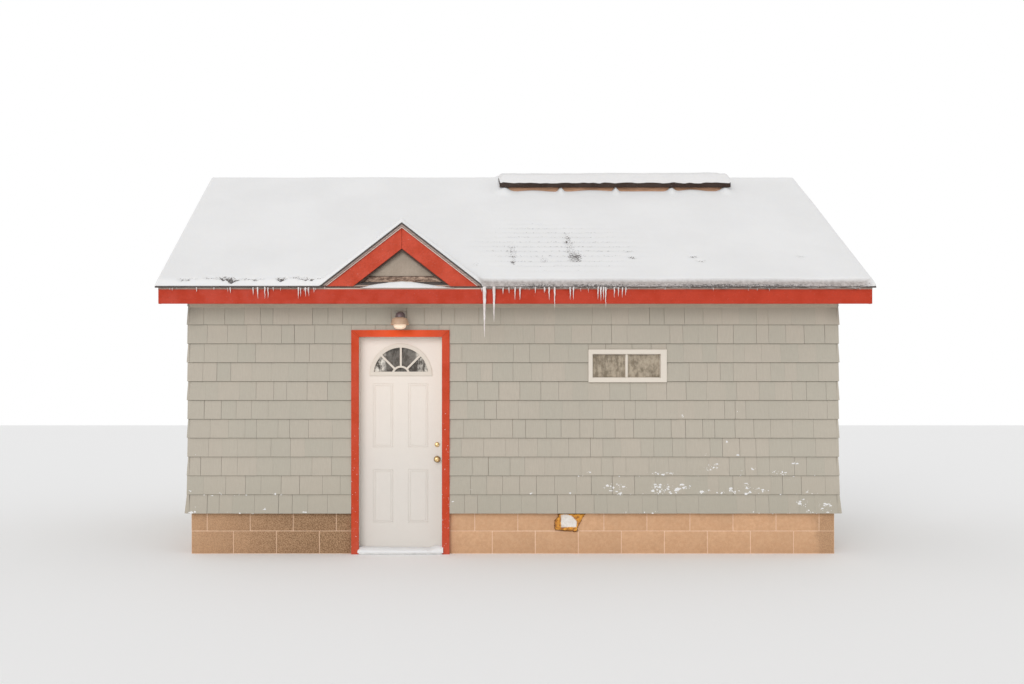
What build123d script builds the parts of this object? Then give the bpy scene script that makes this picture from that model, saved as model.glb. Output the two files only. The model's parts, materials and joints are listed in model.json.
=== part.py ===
from build123d import *
import os
from math import atan, ceil, cos, radians, sin, tan

# A small shingled sauna cabin on a block plinth: gabled roof, a false gable over the door, a ridge vent,
# a half-glazed door, one slot window and a lamp. The front faces -Y, Z is up, and the origin is at the
# centre of the plan, at ground level. All sizes are in millimetres.

# Plan and plinth
plinth_length = 6096.0
plinth_depth = 3657.6
plinth_height = 432.0
plinth_thickness = 194.0
floor_thickness = 30.0

# Framed walls, with their sheathing outside the plinth face
sheathing_overhang = 12.0
wall_thickness = 116.0
header_depth = 470.0

# Shingle cladding
course_exposure = 177.0
cladding_lap = 45.0
cladding_thin = 14.0
cladding_butt = 27.0
flare_butts = (44.0, 33.0)

# Roof
roof_pitch = 33.2
rafter_depth = 140.0
rafter_width = 38.0
rafter_spacing = 609.6
rafters_each_side_of_middle = 4
rafter_seat = 84.0
ridge_board_depth = 184.0
tie_depth = 140.0
tie_bearing = 65.0
deck_thickness = 22.0
roof_shingle_butt = 12.0
roof_shingle_thin = 6.0
roof_exposure = 127.0
ridge_cap_reach = 150.0
ridge_cap_thickness = 5.0
eave_overhang = 328.0
rake_overhang = 208.0
covering_overhang = 24.0

# Trim boards
fascia_depth = 132.0
board_thickness = 19.0
board_joint = 2.0
soffit_thickness = 10.0
soffit_recess = 40.0
frieze_depth = 47.0
frieze_thickness = 22.0

# False gable over the door
gable_half_width = 755.0
gable_pitch = 37.8
gable_deck_thickness = 12.0
gable_board_depth = 163.0
gable_trim_depth = 27.0
gable_trim_thickness = 15.0
gable_recess = 62.0
gable_panel_thickness = 12.0
gable_batten_depth = 50.0
gable_batten_thickness = 15.0

# Ridge vent
vent_middle_x = 1210.0
vent_length = 2524.0
vent_half_width = 380.0
vent_edge_top = 104.5
vent_edge_depth = 52.0
vent_lid_thickness = 28.0
vent_lid_gap = 8.0
vent_end_overhang = 40.0
vent_curb_inset = 50.0
vent_slot_half_width = 60.0
vent_slot_margin = 90.0

# Door, frame and casing
door_middle_x = -1066.0
door_width = 813.0
door_height = 2032.0
door_thickness = 44.0
door_gap = 5.0
door_floor_gap = 6.0
jamb_thickness = 32.0
stop_width = 19.0
casing_width = 72.0
casing_head_width = 65.0
casing_thickness = 32.0
casing_joint = 1.0
threshold_nose = 54.0
threshold_fall = 12.0

# Door panels and fan light
panel_width = 195.0
panel_from_middle = 70.0
panel_foot = 250.0
panel_lower_height = 511.0
panel_rail = 206.0
panel_top_drop = 453.0
panel_groove_width = 26.0
panel_groove_depth = 4.0
light_centre_drop = 371.0
light_outer_radius = 298.0
light_glass_radius = 260.0
light_hole_radius = 275.0
light_sill = 31.0
light_frame_drop = 9.0
light_frame_projection = 10.0
light_bar_width = 19.0
light_hub_radius = 88.0
light_glass_thickness = 12.0
light_bar_angles = (45.0, 90.0, 135.0)

# Lock and hinges
knob_height = 856.0
knob_backset = 60.0
deadbolt_rise = 140.0
lock_hole_radius = 15.0
rose_radius = 32.0
rose_thickness = 8.0
knob_neck_radius = 12.0
knob_running_gap = 0.3
knob_radius = 26.0
knob_projection = 58.0
spindle_radius = 5.0
deadbolt_radius = 24.0
deadbolt_projection = 14.0
thumb_turn = (34.0, 8.0, 16.0)
hinge_foot = 300.0
hinge_top_drop = 232.0
hinge_length = 89.0
hinge_knuckle_radius = 6.0
hinge_pin_radius = 3.0
hinge_pin_gap = 0.3
hinge_knuckle_gap = 1.0
hinge_leaf_thickness = 2.0
hinge_leaf_reach = 30.0
hinge_axis_offset = 6.5

# Window
window_middle_x = 1080.5
window_top_drop = 640.0
window_width = 740.0
window_height = 310.0
window_flange = 20.0
window_left_stile = 39.0
window_right_stile = 57.0
window_rail = 43.0
window_bar_width = 19.0
window_bar_shift = -7.0
window_projection = 38.0
window_depth = 76.0
window_glass_thickness = 12.0
window_glass_bite = 8.0

# Lamp over the door
lamp_block_size = 110.0
lamp_block_thickness = 34.0
lamp_axis_reach = 130.0
lamp_above_casing = 2.0
lamp_block_rise = 125.5
lamp_globe_radius = 60.0
lamp_globe_drop = 40.0
lamp_shade_radius = 87.0
lamp_neck_radius = 35.0
lamp_neck_height = 32.0
lamp_arm_radius = 10.0

# Patched hole in the plinth, as corners seen from the front: x, z
patch_corners = ((398.0, 217.0), (616.0, 204.0), (688.0, 386.0), (438.0, 386.0))
patch_depth = 50.0
patch_projection = 8.0

# Places that follow from the sizes
plinth_x = plinth_length / 2
plinth_y = plinth_depth / 2
wall_x = plinth_x + sheathing_overhang
wall_y = plinth_y + sheathing_overhang
inner_x = wall_x - wall_thickness
inner_y = wall_y - wall_thickness
cladding_bottom = plinth_height - cladding_lap

sill_top = floor_thickness
slab_bottom = sill_top + door_floor_gap
slab_top = slab_bottom + door_height
slab_inner_y = -inner_y
slab_outer_y = slab_inner_y - door_thickness
hinge_heights = (hinge_foot, door_height / 2, door_height - hinge_top_drop)
opening_half = door_width / 2 + door_gap
rough_half = opening_half + jamb_thickness
stop_half = opening_half - stop_width
casing_half = stop_half + casing_width
head_under = slab_top + door_gap
head_top = head_under + jamb_thickness
stop_under = head_under - stop_width
casing_top = stop_under + casing_head_width
wall_top = head_top + header_depth
window_middle_z = wall_top - window_top_drop - window_height / 2

slope = tan(radians(roof_pitch))
slope_cos = cos(radians(roof_pitch))
slope_sin = sin(radians(roof_pitch))
rafter_under_apex = wall_top + slope * (wall_y - rafter_seat)
deck_under_apex = rafter_under_apex + rafter_depth / slope_cos
deck_top_apex = deck_under_apex + deck_thickness / slope_cos
roof_top_apex = deck_top_apex + roof_shingle_butt / slope_cos

fascia_y = wall_y + eave_overhang
fascia_inner_y = fascia_y - board_thickness
rake_x = wall_x + rake_overhang
rake_inner_x = rake_x - board_thickness
covering_y = fascia_y + covering_overhang
covering_x = rake_x + covering_overhang
fascia_top = deck_under_apex - slope * fascia_y
fascia_bottom = fascia_top - fascia_depth
soffit_bottom = fascia_bottom + soffit_recess
soffit_top = soffit_bottom + soffit_thickness
frieze_bottom = soffit_bottom - frieze_depth
rake_soffit_under_apex = deck_under_apex - (fascia_depth - soffit_recess) / slope_cos

gable_middle_x = door_middle_x + 27.0
gable_slope = tan(radians(gable_pitch))
gable_cos = cos(radians(gable_pitch))
gable_foot_z = roof_top_apex - slope * covering_y
gable_top_apex = gable_foot_z + gable_slope * gable_half_width
gable_deck_top_apex = gable_top_apex - roof_shingle_butt / gable_cos
gable_deck_under_apex = gable_deck_top_apex - gable_deck_thickness / gable_cos
gable_board_under_apex = gable_deck_under_apex - gable_board_depth / gable_cos
deck_edge_top = deck_top_apex - slope * fascia_y
gable_board_reach = (gable_deck_under_apex - deck_edge_top) / gable_slope
gable_back_y = (roof_top_apex - gable_top_apex) / slope
gable_panel_y = fascia_y - gable_recess

lid_under_apex = roof_top_apex + vent_lid_gap
lid_edge_top = roof_top_apex - vent_edge_top
curb_y = vent_half_width - vent_curb_inset
curb_x = vent_length / 2 - vent_end_overhang

lamp_y = -wall_y - lamp_axis_reach
lamp_bottom_z = casing_top + lamp_above_casing
lamp_block_z = casing_top + lamp_block_rise
glass_y = (slab_inner_y + slab_outer_y) / 2
far = 2 * plinth_length

os.makedirs("parts", exist_ok=True)


def save(piece, name):
    """Labels a finished piece and writes it as its own file."""
    piece.part.label = name
    export_step(piece.part, f"parts/{name}.step")


def block(x_range, y_range, z_range, mode=Mode.ADD):
    """A box between limits, in the piece that is being built."""
    size = [high - low for low, high in (x_range, y_range, z_range)]
    middle = tuple((high + low) / 2 for low, high in (x_range, y_range, z_range))
    with Locations(middle):
        Box(*size, mode=mode)


def bar_along_x(outline, x_range, mode=Mode.ADD):
    """An outline of (y, z) points, extruded between two places on X."""
    with BuildSketch(Plane.YZ.offset(x_range[0])) as section:
        with BuildLine():
            Polyline(*outline, close=True)
        make_face()
    extrude(section.sketch, amount=x_range[1] - x_range[0], mode=mode)


def bar_along_y(outline, y_range, mode=Mode.ADD):
    """An outline of (x, z) points, extruded between two places on Y."""
    with BuildSketch(Plane.XZ.offset(-y_range[1])) as section:
        with BuildLine():
            Polyline(*outline, close=True)
        make_face()
    extrude(section.sketch, amount=y_range[1] - y_range[0], mode=mode)


def sloped(apex, y):
    """Height of a line that falls from the main ridge at the roof's pitch."""
    return apex - slope * abs(y)


def below_roof(mode=Mode.SUBTRACT):
    """All that lies under the top of the main roof's covering."""
    low = sloped(roof_top_apex, far)
    bar_along_x([(-far, low), (0, roof_top_apex), (far, low)], (-far, far), mode=mode)


# Floor and plinth

with BuildPart() as floor_slab:
    block(
        (-plinth_x + plinth_thickness, plinth_x - plinth_thickness),
        (-plinth_y + plinth_thickness, plinth_y - plinth_thickness),
        (0, floor_thickness),
    )
    block(
        (door_middle_x - rough_half, door_middle_x + rough_half),
        (-inner_y, -plinth_y + plinth_thickness),
        (0, floor_thickness),
    )
save(floor_slab, "floor_slab")

front_y = (-plinth_y, -plinth_y + plinth_thickness)
back_y = (plinth_y - plinth_thickness, plinth_y)
plinth_z = (0, plinth_height)

with BuildPart() as plinth_long_sides:
    block((-plinth_x, door_middle_x - rough_half), front_y, plinth_z)
    block((door_middle_x + rough_half, plinth_x), front_y, plinth_z)
    block((-plinth_x, plinth_x), back_y, plinth_z)
    bar_along_y(patch_corners, (-plinth_y, -plinth_y + patch_depth), mode=Mode.SUBTRACT)
save(plinth_long_sides, "plinth_long_sides")

with BuildPart() as plinth_ends:
    block((plinth_x - plinth_thickness, plinth_x), (front_y[1], back_y[0]), plinth_z)
    mirror(about=Plane.YZ)
save(plinth_ends, "plinth_ends")

with BuildPart() as plinth_patch:
    bar_along_y(patch_corners, (-plinth_y - patch_projection, -plinth_y + patch_depth))
save(plinth_patch, "plinth_patch")

# Framed walls


def window_box(margin):
    """The window's outline on X and Z, smaller all round by a margin."""
    half_width = window_width / 2 - margin
    half_height = window_height / 2 - margin
    return (
        (window_middle_x - half_width, window_middle_x + half_width),
        (window_middle_z - half_height, window_middle_z + half_height),
    )


window_x, window_z = window_box(0)
window_hole_x, window_hole_z = window_box(window_flange)
wall_z = (plinth_height, wall_top)

with BuildPart() as long_walls:
    block((-wall_x, door_middle_x - rough_half), (-wall_y, -inner_y), wall_z)
    block((door_middle_x + rough_half, wall_x), (-wall_y, -inner_y), wall_z)
    block((-wall_x, wall_x), (inner_y, wall_y), wall_z)
    block(window_hole_x, (-wall_y, -inner_y), window_hole_z, mode=Mode.SUBTRACT)
save(long_walls, "long_walls")

with BuildPart() as wall_over_door:
    block(
        (door_middle_x - rough_half, door_middle_x + rough_half),
        (-wall_y, -inner_y),
        (head_top, wall_top),
    )
save(wall_over_door, "wall_over_door")

gable_wall_outline = [
    (-inner_y, plinth_height),
    (inner_y, plinth_height),
    (inner_y, wall_top),
    (wall_y, wall_top),
    (wall_y, sloped(deck_under_apex, wall_y)),
    (0, deck_under_apex),
    (-wall_y, sloped(deck_under_apex, wall_y)),
    (-wall_y, wall_top),
    (-inner_y, wall_top),
]

with BuildPart() as gable_walls:
    bar_along_x(gable_wall_outline, (inner_x, wall_x))
    mirror(about=Plane.YZ)
save(gable_walls, "gable_walls")

# Shingle cladding, as lapped courses that flare at the foot and are mitred at the corners


def course_outline(top):
    """Distance out from the sheathing and height, for courses up to a given height."""
    courses = ceil((top - cladding_bottom) / course_exposure)
    butts = list(flare_butts) + [cladding_butt] * courses
    outline = [(0, cladding_bottom)]
    for course in range(courses):
        foot = cladding_bottom + course * course_exposure
        head = min(foot + course_exposure, top)
        following = butts[course + 1]
        thin = cladding_thin + (following - cladding_butt) / 2
        outline += [(butts[course], foot), (thin, head)]
    return outline + [(0, outline[-1][1])]


cladding_eave_top = frieze_bottom
cladding_reach = 2 * max(flare_butts)

front_courses = [(-wall_y - out, z) for out, z in course_outline(cladding_eave_top)]
cladding_y_range = (-wall_y - cladding_reach, -wall_y + cladding_reach)
casing_left = door_middle_x - casing_half
casing_right = door_middle_x + casing_half

with BuildPart() as cladding_long_sides:
    bar_along_x(front_courses, (-wall_x - cladding_reach, casing_left))
    bar_along_x(front_courses, (casing_right, wall_x + cladding_reach))
    bar_along_x([(-y, z) for y, z in front_courses], (-wall_x - cladding_reach, wall_x + cladding_reach))
    block(window_x, cladding_y_range, window_z, mode=Mode.SUBTRACT)
    with BuildSketch() as mitres:
        with BuildLine():
            Polyline(
                (-wall_x, -wall_y),
                (wall_x, -wall_y),
                (far, wall_x - wall_y - far),
                (-far, wall_x - wall_y - far),
                close=True,
            )
        make_face()
        mirror(about=Plane.XZ)
    extrude(amount=wall_top, mode=Mode.INTERSECT)
save(cladding_long_sides, "cladding_long_sides")

lamp_block_x = (door_middle_x - lamp_block_size / 2, door_middle_x + lamp_block_size / 2)
lamp_block_heights = (lamp_block_z - lamp_block_size / 2, lamp_block_z + lamp_block_size / 2)

with BuildPart() as cladding_over_door:
    bar_along_x(front_courses, (casing_left, casing_right))
    block((casing_left, casing_right), cladding_y_range, (0, casing_top), mode=Mode.SUBTRACT)
    block(lamp_block_x, cladding_y_range, lamp_block_heights, mode=Mode.SUBTRACT)
save(cladding_over_door, "cladding_over_door")

rake_low = sloped(rake_soffit_under_apex, far)

with BuildPart() as cladding_ends:
    bar_along_y(
        [(wall_x + out, z) for out, z in course_outline(rake_soffit_under_apex)],
        (-wall_y - cladding_reach, wall_y + cladding_reach),
    )
    bar_along_x(
        [(-far, rake_low), (0, rake_soffit_under_apex), (far, rake_low)],
        (-far, far),
        mode=Mode.INTERSECT,
    )
    with BuildSketch() as mitres:
        with BuildLine():
            Polyline(
                (wall_x, -wall_y),
                (wall_x, wall_y),
                (far, wall_y - wall_x + far),
                (far, wall_x - wall_y - far),
                close=True,
            )
        make_face()
    extrude(amount=2 * wall_top, mode=Mode.INTERSECT)
    mirror(about=Plane.YZ)
save(cladding_ends, "cladding_ends")

# Roof frame

rafter_outline = [
    (-rafter_width / 2, sloped(deck_under_apex, rafter_width / 2)),
    (-rafter_width / 2, sloped(rafter_under_apex, rafter_width / 2)),
    (-wall_y + rafter_seat, wall_top),
    (-wall_y, wall_top),
    (-wall_y, sloped(rafter_under_apex, wall_y)),
    (-(rafter_under_apex - soffit_top) / slope, soffit_top),
    (-fascia_inner_y, soffit_top),
    (-fascia_inner_y, sloped(deck_under_apex, fascia_inner_y)),
]
rafter_places = [
    number * rafter_spacing
    for number in range(-rafters_each_side_of_middle, rafters_each_side_of_middle + 1)
]

with BuildPart() as rafters:
    for place in rafter_places:
        bar_along_x(rafter_outline, (place - rafter_width / 2, place + rafter_width / 2))
    mirror(about=Plane.XZ)
save(rafters, "rafters")

with BuildPart() as ridge_board:
    ridge_board_top = sloped(deck_under_apex, rafter_width / 2)
    block(
        (-inner_x, inner_x),
        (-rafter_width / 2, rafter_width / 2),
        (ridge_board_top - ridge_board_depth, ridge_board_top),
    )
save(ridge_board, "ridge_board")

with BuildPart() as ceiling_ties:
    tie_reach = inner_y + tie_bearing
    for place in rafter_places[1::2]:
        face = place + rafter_width / 2
        block((face, face + rafter_width), (-tie_reach, tie_reach), (wall_top, wall_top + tie_depth))
save(ceiling_ties, "ceiling_ties")

# Roof deck and covering

gable_notch = (gable_middle_x - gable_board_reach, gable_middle_x + gable_board_reach)
vent_slot = (
    vent_middle_x - vent_length / 2 + vent_slot_margin,
    vent_middle_x + vent_length / 2 - vent_slot_margin,
)


def cut_vent_slot():
    """The open strip along the ridge, under the vent's lid."""
    block(
        vent_slot,
        (-vent_slot_half_width, vent_slot_half_width),
        (rafter_under_apex, roof_top_apex),
        mode=Mode.SUBTRACT,
    )


def cut_gable_notch():
    """Room in the covering at the front eave, where the false gable's boards stand on the deck."""
    block(gable_notch, (-covering_y, -fascia_inner_y), (fascia_bottom, gable_top_apex), mode=Mode.SUBTRACT)


deck_outline = [
    (0, deck_under_apex),
    (0, deck_top_apex),
    (-fascia_y, sloped(deck_top_apex, fascia_y)),
    (-fascia_y, sloped(deck_under_apex, fascia_y)),
]

with BuildPart() as roof_deck_front:
    bar_along_x(deck_outline, (-rake_x, rake_x))
    cut_vent_slot()
save(roof_deck_front, "roof_deck_front")

with BuildPart() as roof_deck_back:
    bar_along_x([(-y, z) for y, z in deck_outline], (-rake_x, rake_x))
    cut_vent_slot()
save(roof_deck_back, "roof_deck_back")


def up_the_slope(along, out, start_y, start_z):
    """A (y, z) point on the front slope, along it from its eave and out from it."""
    y = start_y + along * slope_cos - out * slope_sin
    return (y, start_z + along * slope_sin + out * slope_cos)


def covering_outline():
    """Lapped courses of roof shingles, from the eave's edge to the ridge."""
    start = (-covering_y, sloped(deck_top_apex, covering_y))
    run = covering_y / slope_cos
    courses = ceil(run / roof_exposure)
    outline = [up_the_slope(0, 0, *start)]
    for course in range(courses):
        foot = course * roof_exposure
        head = foot + roof_exposure
        outline.append(up_the_slope(foot, roof_shingle_butt, *start))
        outline.append(up_the_slope(head, roof_shingle_thin, *start))
    outline.append(up_the_slope(courses * roof_exposure, 0, *start))
    return outline


with BuildPart() as roof_shingles_front:
    bar_along_x(covering_outline(), (-covering_x, covering_x))
    split(bisect_by=Plane((0, 0, 0), z_dir=(0, 1, 0)), keep=Keep.BOTTOM)
    cut_vent_slot()
    cut_gable_notch()
save(roof_shingles_front, "roof_shingles_front")

with BuildPart() as roof_shingles_back:
    bar_along_x([(-y, z) for y, z in covering_outline()], (-covering_x, covering_x))
    split(bisect_by=Plane((0, 0, 0), z_dir=(0, 1, 0)), keep=Keep.TOP)
    cut_vent_slot()
save(roof_shingles_back, "roof_shingles_back")

with BuildPart() as ridge_caps:
    cap_top = roof_top_apex + ridge_cap_thickness / slope_cos
    cap_outline = [
        (-ridge_cap_reach, sloped(roof_top_apex, ridge_cap_reach)),
        (-ridge_cap_reach, sloped(cap_top, ridge_cap_reach)),
        (0, cap_top),
        (ridge_cap_reach, sloped(cap_top, ridge_cap_reach)),
        (ridge_cap_reach, sloped(roof_top_apex, ridge_cap_reach)),
        (0, roof_top_apex),
    ]
    bar_along_x(cap_outline, (-covering_x, vent_middle_x - vent_length / 2))
    bar_along_x(cap_outline, (vent_middle_x + vent_length / 2, covering_x))
save(ridge_caps, "ridge_caps")

# Eave and rake trim

fascia_outline = [
    (-fascia_y, fascia_bottom),
    (-fascia_y, fascia_top),
    (-fascia_inner_y, sloped(deck_under_apex, fascia_inner_y)),
    (-fascia_inner_y, fascia_bottom),
]

with BuildPart() as fascias:
    bar_along_x(fascia_outline, (-rake_x, rake_x))
    mirror(about=Plane.XZ)
save(fascias, "fascias")

rake_board_apex = deck_under_apex - fascia_depth / slope_cos
rake_board_outline = [
    (-board_joint / 2, sloped(deck_under_apex, board_joint / 2)),
    (-board_joint / 2, sloped(rake_board_apex, board_joint / 2)),
    (-(rake_board_apex - fascia_bottom) / slope, fascia_bottom),
    (-fascia_inner_y, fascia_bottom),
    (-fascia_inner_y, sloped(deck_under_apex, fascia_inner_y)),
]
rake_soffit_top_apex = rake_soffit_under_apex + soffit_thickness / slope_cos
rake_soffit_outline = [
    (-board_joint / 2, sloped(rake_soffit_top_apex, board_joint / 2)),
    (-board_joint / 2, sloped(rake_soffit_under_apex, board_joint / 2)),
    (-fascia_inner_y, sloped(rake_soffit_under_apex, fascia_inner_y)),
    (-fascia_inner_y, sloped(rake_soffit_top_apex, fascia_inner_y)),
]

with BuildPart() as rake_boards:
    bar_along_x(rake_board_outline, (rake_inner_x, rake_x))
    mirror(about=Plane.XZ)
    mirror(about=Plane.YZ)
save(rake_boards, "rake_boards")

with BuildPart() as rake_soffits:
    bar_along_x(rake_soffit_outline, (wall_x, rake_inner_x))
    mirror(about=Plane.XZ)
    mirror(about=Plane.YZ)
save(rake_soffits, "rake_soffits")

return_x = wall_x - board_thickness

with BuildPart() as eave_soffits:
    block((-return_x, return_x), (-fascia_inner_y, -wall_y), (soffit_bottom, soffit_top))
    mirror(about=Plane.XZ)
save(eave_soffits, "eave_soffits")

with BuildPart() as eave_returns:
    return_outline = [
        (-fascia_inner_y, soffit_bottom),
        (-fascia_inner_y, sloped(deck_under_apex, fascia_inner_y)),
        (-wall_y, sloped(deck_under_apex, wall_y)),
        (-wall_y, soffit_bottom),
    ]
    bar_along_x(return_outline, (return_x, wall_x))
    mirror(about=Plane.XZ)
    mirror(about=Plane.YZ)
save(eave_returns, "eave_returns")

with BuildPart() as friezes:
    block((-wall_x, wall_x), (-wall_y - frieze_thickness, -wall_y), (frieze_bottom, soffit_bottom))
    mirror(about=Plane.XZ)
save(friezes, "friezes")


# False gable over the door


def gable_chevron(top, under, half_width):
    """A (x, z) band that falls both ways from the false gable's ridge."""
    drop = gable_slope * half_width
    return [
        (gable_middle_x - half_width, top - drop),
        (gable_middle_x, top),
        (gable_middle_x + half_width, top - drop),
        (gable_middle_x + half_width, under - drop),
        (gable_middle_x, under),
        (gable_middle_x - half_width, under - drop),
    ]


gable_reach = 2 * gable_half_width

with BuildPart() as gable_shingles:
    bar_along_y(
        gable_chevron(gable_top_apex, gable_deck_top_apex, gable_reach),
        (-covering_y, -gable_back_y + covering_overhang),
    )
    below_roof()
save(gable_shingles, "gable_shingles")

with BuildPart() as gable_deck:
    bar_along_y(
        gable_chevron(gable_deck_top_apex, gable_deck_under_apex, gable_reach),
        (-fascia_y, -gable_back_y + covering_overhang),
    )
    below_roof()
save(gable_deck, "gable_deck")

with BuildPart() as gable_trim:
    trim_under_apex = gable_deck_top_apex - gable_trim_depth / gable_cos
    bar_along_y(
        gable_chevron(gable_deck_top_apex, trim_under_apex, gable_reach),
        (-fascia_y - gable_trim_thickness, -fascia_y),
    )
    below_roof()
save(gable_trim, "gable_trim")

with BuildPart() as gable_boards:
    bar_along_y(
        gable_chevron(gable_deck_under_apex, gable_board_under_apex, gable_reach),
        (-fascia_y, -fascia_inner_y),
    )
    deck_low = sloped(deck_top_apex, far)
    bar_along_x([(-far, deck_low), (0, deck_top_apex), (far, deck_low)], (-far, far), mode=Mode.SUBTRACT)
    joint = (gable_middle_x - board_joint / 2, gable_middle_x + board_joint / 2)
    block(joint, (-far, far), (-far, far), mode=Mode.SUBTRACT)
save(gable_boards, "gable_boards")

with BuildPart() as gable_panel:
    bar_along_y(
        [
            (gable_middle_x - gable_reach, gable_deck_under_apex - gable_slope * gable_reach),
            (gable_middle_x, gable_deck_under_apex),
            (gable_middle_x + gable_reach, gable_deck_under_apex - gable_slope * gable_reach),
        ],
        (-gable_panel_y, -gable_panel_y + gable_panel_thickness),
    )
    below_roof()
save(gable_panel, "gable_panel")

with BuildPart() as gable_batten:
    batten_foot = sloped(roof_top_apex, gable_panel_y + gable_batten_thickness)
    batten_top = batten_foot + gable_batten_depth
    batten_half = (gable_deck_under_apex - batten_top) / gable_slope
    block(
        (gable_middle_x - batten_half, gable_middle_x + batten_half),
        (-gable_panel_y - gable_batten_thickness, -gable_panel_y),
        (fascia_bottom, batten_top),
    )
    below_roof()
save(gable_batten, "gable_batten")

# Ridge vent: a low lid on a curb, over a slot in the roof

lid_slope = (lid_under_apex - lid_edge_top + vent_lid_thickness) / vent_half_width
lid_top_apex = lid_under_apex + vent_lid_thickness
lid_ends = (vent_middle_x - vent_length / 2, vent_middle_x + vent_length / 2)

with BuildPart() as vent_lid:
    lid_edge_inner = vent_half_width - board_thickness
    edge_low = lid_edge_top - vent_edge_depth
    lid_half = [
        (-vent_half_width, lid_edge_top),
        (-vent_half_width, edge_low),
        (-lid_edge_inner, edge_low),
        (-lid_edge_inner, lid_under_apex - lid_slope * lid_edge_inner),
    ]
    lid_outline = [
        (0, lid_top_apex),
        *lid_half,
        (0, lid_under_apex),
        *[(-y, z) for y, z in reversed(lid_half)],
    ]
    bar_along_x(lid_outline, lid_ends)
save(vent_lid, "vent_lid")

with BuildPart() as vent_curb:
    curb_outer = (vent_middle_x - curb_x, vent_middle_x + curb_x)
    curb_inner = (curb_outer[0] + board_thickness, curb_outer[1] - board_thickness)
    curb_heights = (fascia_top, lid_top_apex)
    block(curb_outer, (-curb_y, curb_y), curb_heights)
    block(
        curb_inner,
        (-curb_y + board_thickness, curb_y - board_thickness),
        curb_heights,
        mode=Mode.SUBTRACT,
    )
    below_roof()
    lid_under_edge = lid_under_apex - lid_slope * vent_half_width
    bar_along_x(
        [
            (0, lid_under_apex),
            (-vent_half_width, lid_under_edge),
            (-vent_half_width, fascia_top),
            (vent_half_width, fascia_top),
            (vent_half_width, lid_under_edge),
        ],
        curb_outer,
        mode=Mode.INTERSECT,
    )
save(vent_curb, "vent_curb")

# Door frame

with BuildPart() as door_frame:
    left, right = door_middle_x - rough_half, door_middle_x + rough_half
    block((left, right), (-wall_y, -inner_y), (0, head_top))
    block(
        (door_middle_x - opening_half, door_middle_x + opening_half),
        (slab_outer_y - door_gap, -inner_y),
        (0, head_under),
        mode=Mode.SUBTRACT,
    )
    block(
        (door_middle_x - stop_half, door_middle_x + stop_half),
        (-wall_y, slab_outer_y - door_gap),
        (0, stop_under),
        mode=Mode.SUBTRACT,
    )
    jamb_face = door_middle_x - opening_half
    for height in hinge_heights:
        hinge_z = slab_bottom + height
        block(
            (jamb_face - hinge_leaf_thickness, jamb_face),
            (-inner_y - hinge_leaf_reach, -inner_y),
            (hinge_z - hinge_length / 2, hinge_z + hinge_length / 2),
            mode=Mode.SUBTRACT,
        )
save(door_frame, "door_frame")

casing_outer = (door_middle_x - casing_half, door_middle_x + casing_half)
casing_inner = (door_middle_x - stop_half, door_middle_x + stop_half)

with BuildPart() as door_casing:
    casing_y = (-wall_y - casing_thickness, -wall_y)
    block(casing_outer, casing_y, (0, casing_top))
    block(casing_inner, casing_y, (0, stop_under), mode=Mode.SUBTRACT)
    for outer, inner in zip(casing_outer, casing_inner):
        bar_along_y(
            [
                (outer, casing_top - casing_joint),
                (outer, casing_top + casing_joint),
                (inner, stop_under + casing_joint),
                (inner, stop_under - casing_joint),
            ],
            casing_y,
            mode=Mode.SUBTRACT,
        )
save(door_casing, "door_casing")

with BuildPart() as threshold:
    stop_y = slab_outer_y - door_gap
    bar_along_x(
        [
            (stop_y, 0),
            (stop_y, sill_top),
            (-wall_y - threshold_nose, sill_top - threshold_fall),
            (-wall_y - threshold_nose, 0),
        ],
        (door_middle_x - stop_half, door_middle_x + stop_half),
    )
    block(
        (door_middle_x - opening_half, door_middle_x + opening_half),
        (stop_y, -inner_y),
        (0, sill_top),
    )
save(threshold, "threshold")

# Door leaf

light_z = slab_top - light_centre_drop


def half_disc(radius, sill):
    """A disc about the fan light's centre, kept above a level line."""
    with Locations((door_middle_x, light_z)):
        Circle(radius)
    with Locations((door_middle_x, light_z + sill - radius)):
        Rectangle(2 * radius, 2 * radius, mode=Mode.SUBTRACT)


panel_lower = (panel_foot, panel_foot + panel_lower_height)
panel_upper = (panel_lower[1] + panel_rail, door_height - panel_top_drop)
lock_x = door_middle_x + door_width / 2 - knob_backset
knob_z = slab_bottom + knob_height
deadbolt_z = knob_z + deadbolt_rise
slab_edge = door_middle_x - door_width / 2

with BuildPart() as door_leaf:
    block(
        (slab_edge, slab_edge + door_width),
        (slab_outer_y, slab_inner_y),
        (slab_bottom, slab_top),
    )
    with BuildSketch(Plane.XZ.offset(-slab_inner_y)):
        half_disc(light_hole_radius, light_sill - light_hole_radius + light_glass_radius)
        with Locations((lock_x, knob_z), (lock_x, deadbolt_z)):
            Circle(lock_hole_radius)
    extrude(amount=door_thickness, mode=Mode.SUBTRACT)
    for face_y, direction in ((slab_outer_y, 1), (slab_inner_y, -1)):
        with BuildSketch(Plane.XZ.offset(-face_y)):
            for low, high in (panel_upper, panel_lower):
                for hand in (-1, 1):
                    middle = door_middle_x + hand * (panel_from_middle + panel_width / 2)
                    with Locations((middle, slab_bottom + (low + high) / 2)):
                        Rectangle(panel_width, high - low)
                        Rectangle(
                            panel_width - 2 * panel_groove_width,
                            high - low - 2 * panel_groove_width,
                            mode=Mode.SUBTRACT,
                        )
        extrude(amount=-direction * panel_groove_depth, mode=Mode.SUBTRACT)
    for height in hinge_heights:
        hinge_z = slab_bottom + height
        block(
            (slab_edge, slab_edge + hinge_leaf_thickness),
            (slab_inner_y - hinge_leaf_reach, slab_inner_y),
            (hinge_z - hinge_length / 2, hinge_z + hinge_length / 2),
            mode=Mode.SUBTRACT,
        )
save(door_leaf, "door_leaf")


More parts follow.
